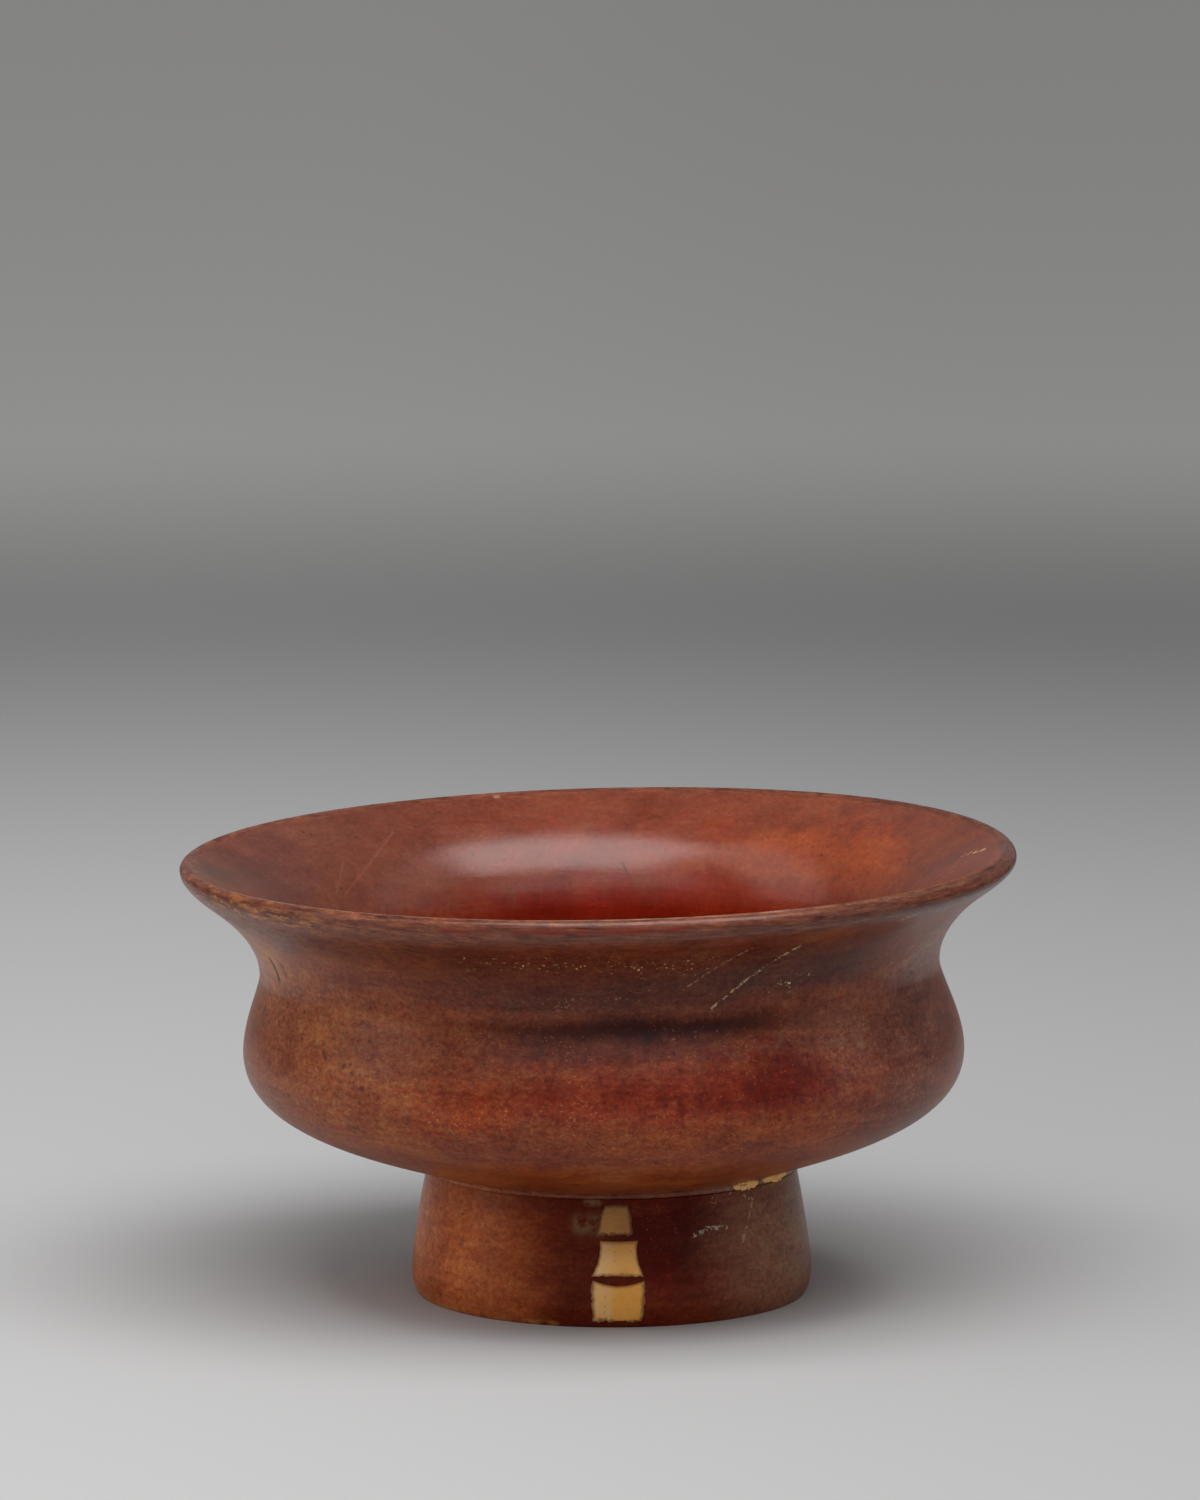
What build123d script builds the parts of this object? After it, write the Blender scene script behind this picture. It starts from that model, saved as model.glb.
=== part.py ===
from build123d import *
import os

# A wide drinking bowl with a drawn-in neck, luted to a hollow foot ring that was thrown by itself.
# Millimetres, +Z up. The origin lies on the table under the middle of the rim, and -Y is the front.

# Bowl: radii from its own axis and heights above the seat that rests on the foot
rim_radius = 60.0
bowl_height = 44.7
lip_thickness = 3.3
lip_flat = 0.7
neck_radius = 48.8
neck_height = 27.9
belly_radius = 51.7
belly_height = 16.2
seat_radius = 27.0
wall_thickness = 4.2
floor_thickness = 6.0

# Bowl: slopes above level in degrees, and the lean of its axis towards -X
flare_slope = 39.0
underside_slope = 17.8
bowl_lean = 1.2

# Bowl: how far each end of a curve runs on before it bends, as a share of that curve's own span
flare_run = 0.68
neck_run = 0.53
belly_run = 0.57
underside_run = 0.51
inner_belly_run = 0.81
floor_run = 0.69

# Bowl: where the wall between neck and belly turns from hollow to round, as a share of its drop
waist_share = 0.32

# Foot ring: radii from its own axis and heights above the table
foot_height = 18.2
foot_top_radius = 27.3
foot_swell_radius = 28.8
foot_swell_height = 3.8
foot_base_radius = 27.9
foot_top_wall = 6.6
foot_base_wall = 4.8
foot_top_run = 0.69
foot_swell_run = 0.21
foot_inner_rounding = 0.8
foot_shift = 1.5

# Luting slip: the layer between foot and bowl at its thinnest, and the bead squeezed out of it
slip_thickness = 0.25
slip_inset = 0.4
bead_radius = 0.6

# Filled losses on the front of the foot, one above the other, with bands of sound clay between them
fill_depth = 1.6
fill_shift = 1.2
lower_fill_base = 0.6
lower_fill_height = 5.1
lower_fill_base_width = 7.0
lower_fill_top_width = 7.9
lower_fill_dip = 0.6
lower_band = 1.8
upper_fill_height = 4.9
upper_fill_base_width = 7.6
upper_fill_top_width = 5.1
upper_fill_dip = 0.2
upper_band = 0.8
stained_fill_base_width = 5.8
stained_fill_top_width = 5.0
stained_fill_dip = 0.3
stained_fill_margin = 1.0

# Filled losses in the seam: sizes of their section, and angles in degrees from the front towards +X
seam_fill_width = 1.5
seam_fill_height = 1.9
seam_fill_below = 0.6
seam_fill_rounding = 0.4
seam_fill_start = 40.0
front_seam_span = 9.0
seam_fill_gap = 2.5
side_seam_span = 13.5

os.makedirs("parts", exist_ok=True)

# Directions within a section: across from the axis and up along it
up = Vector(0, 1)
down = -up
outward = Vector(1, 0)
inward = -outward
flare_down = inward.rotate(Axis.Z, flare_slope)
flare_across = flare_down.rotate(Axis.Z, 90)
underside_down = inward.rotate(Axis.Z, underside_slope)

# Lip: a narrow flat between two roundings, whose centres are set by the rim and by the bowl's height
lip_rounding = (lip_thickness - lip_flat) / 2
lip_step = flare_across * lip_flat
lip_outer_centre = Vector(rim_radius - lip_rounding, bowl_height - lip_rounding + lip_step.Y)
lip_inner_centre = lip_outer_centre - lip_step
lip_under = lip_outer_centre + flare_across * lip_rounding
lip_outer_tip = lip_outer_centre - flare_down * lip_rounding
lip_inner_tip = lip_inner_centre - flare_down * lip_rounding
lip_inside = lip_inner_centre - flare_across * lip_rounding

# Axes and section planes. The widest ring of the lip stands over the origin.
level = Vector(1, 0, 0)
bowl_across = level.rotate(Axis.Y, -bowl_lean)
bowl_up = Vector(0, 0, 1).rotate(Axis.Y, -bowl_lean)
seat_rise = seat_radius * bowl_across.Z
seat_height = foot_height + slip_thickness + seat_rise
seat_centre = Vector(0, 0, seat_height) - level * bowl_up.X * lip_outer_centre.Y
foot_centre = Vector(foot_shift, 0, 0)
bowl_axis = Axis(seat_centre, bowl_up)
foot_axis = Axis(foot_centre, (0, 0, 1))
bowl_plane = Plane(seat_centre, x_dir=bowl_across, z_dir=(0, -1, 0))
foot_plane = Plane(foot_centre, x_dir=level, z_dir=(0, -1, 0))


def swept_curve(start, start_way, start_run, end, end_way, end_run):
    """A curve that leaves one point along a direction and comes into another along a direction."""
    start, end = Vector(start), Vector(end)
    return Bezier(start, start + start_way * start_run, end - end_way * end_run, end)


# Bowl: one wall from the floor up to the round lip
neck = Vector(neck_radius, neck_height)
belly = Vector(belly_radius, belly_height)
waist = neck + (belly - neck) * waist_share
seat_edge = Vector(seat_radius, 0)
inner_neck = neck + inward * wall_thickness
inner_waist = waist + inward * wall_thickness
inner_belly = belly + inward * wall_thickness
floor_middle = Vector(0, floor_thickness)
under_flare_bend = flare_run * (lip_under.Y - neck.Y)
under_neck_bend = neck_run * (lip_under.Y - neck.Y)
inside_flare_bend = flare_run * (lip_inside.Y - neck.Y)
inside_neck_bend = neck_run * (lip_inside.Y - neck.Y)
floor_bend = floor_run * inner_belly.X
inner_belly_bend = inner_belly_run * (inner_belly.Y - floor_middle.Y)
belly_bend = belly_run * belly.Y
underside_bend = underside_run * (belly.X - seat_edge.X)

with BuildPart() as bowl:
    with BuildSketch(bowl_plane):
        with BuildLine():
            swept_curve(lip_under, flare_down, under_flare_bend, neck, down, under_neck_bend)
            TangentArc(neck, waist, tangent=down)
            TangentArc(belly, waist, tangent=up)
            swept_curve(belly, down, belly_bend, seat_edge, underside_down, underside_bend)
            Polyline(seat_edge, (0, 0), floor_middle)
            swept_curve(floor_middle, outward, floor_bend, inner_belly, up, inner_belly_bend)
            TangentArc(inner_belly, inner_waist, tangent=up)
            TangentArc(inner_neck, inner_waist, tangent=down)
            swept_curve(lip_inside, flare_down, inside_flare_bend, inner_neck, down, inside_neck_bend)
            TangentArc(lip_inside, lip_inner_tip, tangent=-flare_down)
            Line(lip_inner_tip, lip_outer_tip)
            TangentArc(lip_outer_tip, lip_under, tangent=flare_across)
        make_face()
    revolve(axis=bowl_axis)
bowl.part.label = "bowl"
export_step(bowl.part, "parts/bowl.step")

# Foot ring before its losses: a flared, hollow pedestal with a flat resting edge
foot_top = Vector(foot_top_radius, foot_height)
foot_swell = Vector(foot_swell_radius, foot_swell_height)
foot_base = Vector(foot_base_radius, 0)
hollow_base = Vector(foot_base_radius - foot_base_wall, 0)
hollow_top = Vector(foot_top_radius - foot_top_wall, foot_height)
foot_drop = foot_top.Y - foot_swell.Y
foot_top_bend = foot_top_run * foot_drop
foot_swell_bend = foot_swell_run * foot_drop

with BuildPart() as foot_blank:
    with BuildSketch(foot_plane) as foot_section:
        with BuildLine():
            swept_curve(foot_top, down, foot_top_bend, foot_swell, down, foot_swell_bend)
            TangentArc(foot_swell, foot_base, tangent=down)
            Polyline(foot_base, hollow_base, hollow_top, foot_top)
        make_face()
        hollow_corner = foot_section.vertices().group_by(Axis.Y)[0].sort_by(Axis.X)[0]
        fillet(hollow_corner, foot_inner_rounding)
    revolve(axis=foot_axis)

# Losses on the front: upright pockets cut straight back into the foot
foot_narrowest_radius = min(foot_top_radius, foot_base_radius)
pocket_back = Plane.XZ.offset(foot_narrowest_radius - fill_depth)
pocket_reach = foot_swell_radius
lower_fill_top = lower_fill_base + lower_fill_height
upper_fill_base = lower_fill_top + lower_band
upper_fill_top = upper_fill_base + upper_fill_height
stained_fill_base = upper_fill_top + upper_band
stained_fill_top = foot_height - stained_fill_margin


def front_loss(base, top, base_width, top_width, dip):
    """Outline of one loss on the back plane of the pockets, with a sagging top edge."""
    middle = foot_shift + fill_shift
    base_left = (middle - base_width / 2, base)
    base_right = (middle + base_width / 2, base)
    top_left = (middle - top_width / 2, top)
    top_right = (middle + top_width / 2, top)
    with BuildSketch(pocket_back) as loss:
        with BuildLine():
            Polyline(top_left, base_left, base_right, top_right)
            ThreePointArc(top_right, (middle, top - dip), top_left)
        make_face()
    return loss.sketch


lower_loss = front_loss(
    lower_fill_base, lower_fill_top, lower_fill_base_width, lower_fill_top_width, lower_fill_dip
)
upper_loss = front_loss(
    upper_fill_base, upper_fill_top, upper_fill_base_width, upper_fill_top_width, upper_fill_dip
)
stained_loss = front_loss(
    stained_fill_base, stained_fill_top, stained_fill_base_width, stained_fill_top_width, stained_fill_dip
)


# Losses in the seam: short stretches of ring where slip and foot edge are gone
def seam_loss(start, span):
    """Ring sector at the top outer edge of the foot, from an angle off the front and over a span."""
    way_out = Vector(0, -1, 0).rotate(Axis.Z, start)
    section_plane = Plane(foot_centre, x_dir=way_out, z_dir=way_out.rotate(Axis.Z, -90))
    middle_radius = foot_top_radius + bead_radius - seam_fill_width / 2
    middle_height = foot_height - seam_fill_below + seam_fill_height / 2
    with BuildPart() as loss:
        with BuildSketch(section_plane):
            with Locations((middle_radius, middle_height)):
                RectangleRounded(seam_fill_width, seam_fill_height, seam_fill_rounding)
        revolve(axis=foot_axis, revolution_arc=span)
    return loss.part


front_seam_loss = seam_loss(seam_fill_start, front_seam_span)
side_seam_loss = seam_loss(seam_fill_start + front_seam_span + seam_fill_gap, side_seam_span)

with BuildPart() as foot_ring:
    add(foot_blank.part)
    for loss in (lower_loss, upper_loss, stained_loss):
        extrude(loss, amount=pocket_reach, mode=Mode.SUBTRACT)
    for loss in (front_seam_loss, side_seam_loss):
        add(loss, mode=Mode.SUBTRACT)
foot_ring.part.label = "foot_ring"
export_step(foot_ring.part, "parts/foot_ring.step")

# Luting slip: fills the wedge between the level foot and the leaning seat
slip_outer_radius = foot_top_radius - slip_inset
slip_inner_radius = hollow_top.X + slip_inset
slip_high = seat_height + floor_thickness / 2
bead_height = (foot_height + seat_height) / 2

with BuildPart() as luting_slip:
    with BuildSketch(foot_plane):
        with BuildLine():
            Polyline(
                (slip_inner_radius, foot_height),
                (slip_outer_radius, foot_height),
                (slip_outer_radius, slip_high),
                (slip_inner_radius, slip_high),
                close=True,
            )
        make_face()
        with Locations((foot_top_radius, bead_height)):
            Circle(bead_radius)
    revolve(axis=foot_axis)
    add(bowl.part, mode=Mode.SUBTRACT)
    add(foot_blank.part, mode=Mode.SUBTRACT)
    for loss in (front_seam_loss, side_seam_loss):
        add(loss, mode=Mode.SUBTRACT)
luting_slip.part.label = "luting_slip"
export_step(luting_slip.part, "parts/luting_slip.step")

# Fills: each one takes the space of its loss and is dressed flush with the foot
with BuildPart() as lower_foot_fill:
    extrude(lower_loss, amount=pocket_reach)
    add(foot_blank.part, mode=Mode.INTERSECT)
lower_foot_fill.part.label = "lower_foot_fill"
export_step(lower_foot_fill.part, "parts/lower_foot_fill.step")

with BuildPart() as upper_foot_fill:
    extrude(upper_loss, amount=pocket_reach)
    add(foot_blank.part, mode=Mode.INTERSECT)
upper_foot_fill.part.label = "upper_foot_fill"
export_step(upper_foot_fill.part, "parts/upper_foot_fill.step")

with BuildPart() as stained_foot_fill:
    extrude(stained_loss, amount=pocket_reach)
    add(foot_blank.part, mode=Mode.INTERSECT)
stained_foot_fill.part.label = "stained_foot_fill"
export_step(stained_foot_fill.part, "parts/stained_foot_fill.step")

with BuildPart() as front_seam_fill:
    add(front_seam_loss)
    add(bowl.part, mode=Mode.SUBTRACT)
front_seam_fill.part.label = "front_seam_fill"
export_step(front_seam_fill.part, "parts/front_seam_fill.step")

with BuildPart() as side_seam_fill:
    add(side_seam_loss)
    add(bowl.part, mode=Mode.SUBTRACT)
side_seam_fill.part.label = "side_seam_fill"
export_step(side_seam_fill.part, "parts/side_seam_fill.step")
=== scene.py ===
"""Looks of a red-slipped drinking bowl on a hollow foot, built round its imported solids."""

import logging
import math
from dataclasses import dataclass, field
from enum import Enum
from typing import ClassVar

import bpy
import bmesh
import numpy as np
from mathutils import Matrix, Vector, noise


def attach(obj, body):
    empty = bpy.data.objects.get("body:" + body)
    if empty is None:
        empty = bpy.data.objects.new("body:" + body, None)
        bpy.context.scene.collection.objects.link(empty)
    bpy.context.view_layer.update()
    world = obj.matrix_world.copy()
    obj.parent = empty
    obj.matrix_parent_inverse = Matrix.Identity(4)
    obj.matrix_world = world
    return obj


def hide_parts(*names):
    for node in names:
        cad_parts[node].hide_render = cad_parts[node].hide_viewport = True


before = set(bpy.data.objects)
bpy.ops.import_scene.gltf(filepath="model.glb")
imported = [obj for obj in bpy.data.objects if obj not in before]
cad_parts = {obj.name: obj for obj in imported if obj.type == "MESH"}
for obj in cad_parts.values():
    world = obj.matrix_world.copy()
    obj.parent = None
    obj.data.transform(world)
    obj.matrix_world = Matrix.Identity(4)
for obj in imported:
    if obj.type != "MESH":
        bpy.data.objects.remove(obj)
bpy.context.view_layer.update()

log = logging.getLogger("footed_bowl")
Colour = tuple[float, float, float]
Point = tuple[float, float]
Span = tuple[float, float]
Socket = bpy.types.NodeSocket

# Metres in a millimetre.
MM = 0.001
# Edges above this angle stay sharp.
SHARP = math.radians(40.0)
# Radius, in millimetres, at which lengths round the foot are measured.
FOOT_GIRTH = 28.0
# Factor that leaves a colour as it is.
PLAIN: Colour = (1.0, 1.0, 1.0)


class Side(Enum):
    """Face of a wall that a mark lies on, by the direction that its unrolled place is measured from."""

    OUTER = "outer"
    INNER = "inner"


class MarkKind(Enum):
    """Ways in which the coat is hurt, with painted shade for dents among the nicks."""

    SCRATCH = "scratch"
    DOTS = "dots"
    SPOTS = "spots"
    FLAMES = "flames"
    SMEAR = "smear"
    STREAKS = "streaks"
    NICK_AND_DENT_SHADE = "nick"


class Graph:
    """A node tree with short ways to add nodes and to join them."""

    def __init__(self, tree: bpy.types.NodeTree) -> None:
        """Keeps the tree that the nodes go into."""
        self.tree = tree

    def feed(self, socket: Socket, value: object) -> None:
        """Links a socket to another one, or sets its constant."""
        if isinstance(value, Socket):
            self.tree.links.new(value, socket)
        else:
            socket.default_value = value

    def add(self, kind: str, settings: dict | None = None, inputs: dict | None = None) -> bpy.types.Node:
        """Adds one node.

        Args:
            kind: Blender's name of the node's type.
            settings: Properties of the node.
            inputs: Sockets or constants by input name or number.

        Returns:
            The new node.
        """
        node = self.tree.nodes.new(kind)
        for name, value in (settings or {}).items():
            setattr(node, name, value)
        for key, value in (inputs or {}).items():
            self.feed(node.inputs[key], value)
        return node

    def math(self, operation: str, a: object, b: object = 0.0, clamp: bool = False) -> Socket:
        """Result of a Math node on one or two values."""
        settings = {"operation": operation, "use_clamp": clamp}
        return self.add("ShaderNodeMath", settings, {0: a, 1: b}).outputs[0]

    def times(self, a: object, b: object) -> Socket:
        """Product of two values."""
        return self.math("MULTIPLY", a, b)

    def plus(self, a: object, b: object, clamp: bool = False) -> Socket:
        """Sum of two values."""
        return self.math("ADD", a, b, clamp)

    def minus(self, a: object, b: object, clamp: bool = False) -> Socket:
        """Difference of two values."""
        return self.math("SUBTRACT", a, b, clamp)

    def swing(self, value: Socket, reach: object) -> Socket:
        """A noise from 0 to 1 set about nought, times its reach."""
        return self.times(self.minus(value, 0.5), reach)

    def vector(self, operation: str, a: object, b: object = (0.0, 0.0, 0.0)) -> Socket:
        """Vector result of a Vector Math node."""
        return self.add("ShaderNodeVectorMath", {"operation": operation}, {0: a, 1: b}).outputs[0]

    def scaled(self, vector: object, factors: object) -> Socket:
        """Vector with each of its numbers times a factor."""
        return self.vector("MULTIPLY", vector, factors)

    def measure(self, operation: str, a: object, b: object = (0.0, 0.0, 0.0)) -> Socket:
        """Single number from a Vector Math node, such as a length or a dot product."""
        return self.add("ShaderNodeVectorMath", {"operation": operation}, {0: a, 1: b}).outputs[1]

    def combine(self, x: object, y: object, z: object = 0.0) -> Socket:
        """Vector of three numbers."""
        return self.add("ShaderNodeCombineXYZ", None, {0: x, 1: y, 2: z}).outputs[0]

    def split(self, vector: Socket) -> tuple[Socket, Socket, Socket]:
        """The three numbers of a vector."""
        node = self.add("ShaderNodeSeparateXYZ", None, {0: vector})
        return node.outputs[0], node.outputs[1], node.outputs[2]

    def step(self, value: object, low: float, high: float, to_low: float = 0.0,
             to_high: float = 1.0) -> Socket:
        """Smooth step from one level to another between two values, falling where low is above high."""
        inputs = {"Value": value, "From Min": low, "From Max": high, "To Min": to_low, "To Max": to_high}
        settings = {"interpolation_type": "SMOOTHSTEP"}
        return self.add("ShaderNodeMapRange", settings, inputs).outputs["Result"]

    def noise(self, vector: object, scale: float, detail: float = 3.0, roughness: float = 0.55) -> Socket:
        """Fractal noise from 0 to 1."""
        inputs = {"Vector": vector, "Scale": scale, "Detail": detail, "Roughness": roughness}
        return self.add("ShaderNodeTexNoise", None, inputs).outputs[0]

    def cells(self, vector: object, scale: float) -> tuple[Socket, Socket]:
        """Distance to the nearest scattered point, and a random number for that point."""
        node = self.add("ShaderNodeTexVoronoi", None, {"Vector": vector, "Scale": scale})
        return node.outputs["Distance"], self.parts(node.outputs["Color"])[0]

    def parts(self, colour: Socket) -> tuple[Socket, Socket, Socket]:
        """The three numbers of a colour."""
        node = self.add("ShaderNodeSeparateColor", None, {0: colour})
        return node.outputs[0], node.outputs[1], node.outputs[2]

    def stray(self, vector: Socket, scale: float, detail: float, roughness: float, reach: Colour) -> Socket:
        """Random shift about nought.

        Args:
            vector: Coordinates of the noise.
            scale: Scale of the noise.
            detail: Octaves of the noise.
            roughness: Weight of the finer octaves.
            reach: Span of the shift in the three directions.

        Returns:
            The shift as a vector.
        """
        inputs = {"Vector": vector, "Scale": scale, "Detail": detail, "Roughness": roughness}
        spread = self.combine(*self.parts(self.add("ShaderNodeTexNoise", None, inputs).outputs["Color"]))
        return self.scaled(self.vector("SUBTRACT", spread, (0.5, 0.5, 0.5)), reach)

    def mix(self, factor: object, a: object, b: object, blend: str = "MIX") -> Socket:
        """Mix of two colours, given as sockets or as three numbers."""
        node = self.add("ShaderNodeMix", {"data_type": "RGBA", "blend_type": blend}, {0: factor})
        for index, colour in ((6, a), (7, b)):
            given = colour if isinstance(colour, Socket) else (*colour, 1.0)
            self.feed(node.inputs[index], given)
        return node.outputs[2]

    def shade(self, factor: Socket, low: float, dark: Colour, high: float, light: Colour) -> Socket:
        """Factors for a colour, from dark through plain to light.

        Args:
            factor: Number that picks the place on the ramp.
            low: Place of the dark factor.
            dark: The dark factor.
            high: Place of the light factor.
            light: The light factor.

        Returns:
            The factors, which leave a colour as it is at 0.5.
        """
        node = self.add("ShaderNodeValToRGB", None, {0: factor})
        elements = node.color_ramp.elements
        elements.new(1.0)
        for element, (place, colour) in zip(elements, ((low, dark), (0.5, PLAIN), (high, light))):
            element.position = place
            element.color = (*colour, 1.0)
        return node.outputs[0]

    def attribute(self, name: str) -> Socket:
        """Number that the mesh carries under a name."""
        return self.add("ShaderNodeAttribute", {"attribute_name": name}).outputs["Fac"]

    def millimetres(self) -> Socket:
        """Object coordinates in millimetres."""
        metres = self.add("ShaderNodeTexCoord").outputs["Object"]
        return self.scaled(metres, (1.0 / MM, 1.0 / MM, 1.0 / MM))

    def bump(self, relief: Socket, strength: float, depth: float) -> Socket:
        """Normal bent by a relief, whose depth is in metres."""
        inputs = {"Strength": strength, "Distance": depth, "Height": relief}
        return self.add("ShaderNodeBump", None, inputs).outputs[0]

    def surface(self, inputs: dict[str, object]) -> None:
        """Feeds the material's shader by input name."""
        shader = self.tree.nodes["Principled BSDF"]
        for name, value in inputs.items():
            self.feed(shader.inputs[name], value)


def start_material(name: str) -> tuple[bpy.types.Material, Graph]:
    """A new material and its node tree."""
    material = bpy.data.materials.new(name)
    material.use_nodes = True
    return material, Graph(material.node_tree)


def dim(colour: Colour, share: float) -> Colour:
    """Colour with each of its numbers times a share."""
    return tuple(share * part for part in colour)


def put(name: str, data: bpy.types.ID) -> bpy.types.Object:
    """A new object at the origin of the scene."""
    item = bpy.data.objects.new(name, data)
    bpy.context.scene.collection.objects.link(item)
    return item


def worked_mesh(item: bpy.types.Object) -> bpy.types.Mesh:
    """Plain mesh of an object with its modifiers worked in."""
    graph = bpy.context.evaluated_depsgraph_get()
    return bpy.data.meshes.new_from_object(item.evaluated_get(graph))


@dataclass(frozen=True)
class Mark:
    """One mark on an unrolled wall, in millimetres along the girth and up the wall.

    It follows the stroke from start to end and fades out at its width from that stroke.
    """

    kind: MarkKind
    start: Point
    end: Point
    width: float
    strength: float = 1.0
    colour: Colour = (0.62, 0.42, 0.22)
    side: Side = Side.OUTER


@dataclass(frozen=True)
class Tint:
    """Oval zone of an unrolled wall with another colour: in some zones the coat fired or wore to it, in
    others it is painted light and shade.

    It fades out round its reach from the centre, and ragged says how far that border strays.
    """

    centre: Point
    reach: Point
    colour: Colour
    strength: float
    side: Side = Side.OUTER
    ragged: float = 1.0


@dataclass(frozen=True)
class Unrolling:
    """How a turned wall is laid flat so that marks can be placed on it.

    Centre is the axis, lean the rise of the rings per millimetre to the right, and radius the one at which
    the girth is measured.
    """

    centre: float
    lean: float
    radius: float

    def lay(self, graph: Graph, place: Socket, side: Side) -> Socket:
        """Unrolled place of a point: girth from the front or the back, and height up the wall.

        Args:
            graph: Tree that the nodes go into.
            place: Point on the piece, in millimetres.
            side: Face whose middle the girth is measured from.

        Returns:
            Vector of girth, height and nothing.
        """
        x, y, z = graph.split(place)
        across = graph.minus(x, self.centre)
        deep = graph.times(y, -1.0 if side is Side.OUTER else 1.0)
        turn = graph.math("ARCTAN2", across, deep)
        height = graph.minus(z, graph.times(across, self.lean))
        return graph.combine(graph.times(turn, self.radius), height)


@dataclass(frozen=True)
class SlipFinish:
    """Burnished red slip over a buff body, with flecks, turning streaks and the marks of use.

    Each span holds the two places, in millimetres, between which a change runs. Those that end in side run
    across, those that end in front run in depth, the quiet neck is a height, and held is a distance to
    either side.
    """

    name: str
    unrolling: Unrolling
    ground: Colour
    inner_ground: Colour
    tints: tuple[Tint, ...] = ()
    marks: tuple[Mark, ...] = ()
    worn_side: Span = (5.0, -50.0)
    worn_front: Span = (5.0, -15.0)
    sound_side: Span = (10.0, 55.0)
    crest_side: Span = (5.0, 30.0)
    crest_front: Span = (-15.0, -38.0)
    quiet_neck: Span = (47.5, 43.5)
    held: Span = (44.0, 57.0)
    fleck: Colour = (0.46, 0.150, 0.040)
    soot: Colour = (0.022, 0.010, 0.007)
    body: Colour = (0.52, 0.27, 0.13)
    lip: Colour = (0.150, 0.045, 0.026)
    sound_lip: Colour = (0.076, 0.025, 0.015)
    lip_wear: Colour = (0.50, 0.17, 0.045)
    crest: Colour = (0.42, 0.23, 0.12)
    mottling: float = 1.0
    flecks: float = 1.0
    film: float = 0.6
    gloss: float = 0.22
    inner_gloss: float = 0.50
    lip_gloss: float = 0.12
    held_gloss: float = 0.30
    lip_polish: float = 0.08
    roughness: float = 0.32
    inner_roughness: float = 0.25
    bare_inside: bool = False

    def build(self) -> bpy.types.Material:
        """The finish as a material whose pattern follows Object coordinates."""
        coat = SlipCoat(self)
        coat.lay_ground()
        coat.mottle()
        coat.fleck()
        coat.wear_lip()
        coat.mark()
        if self.bare_inside:
            coat.bare()
        return coat.close()


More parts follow.
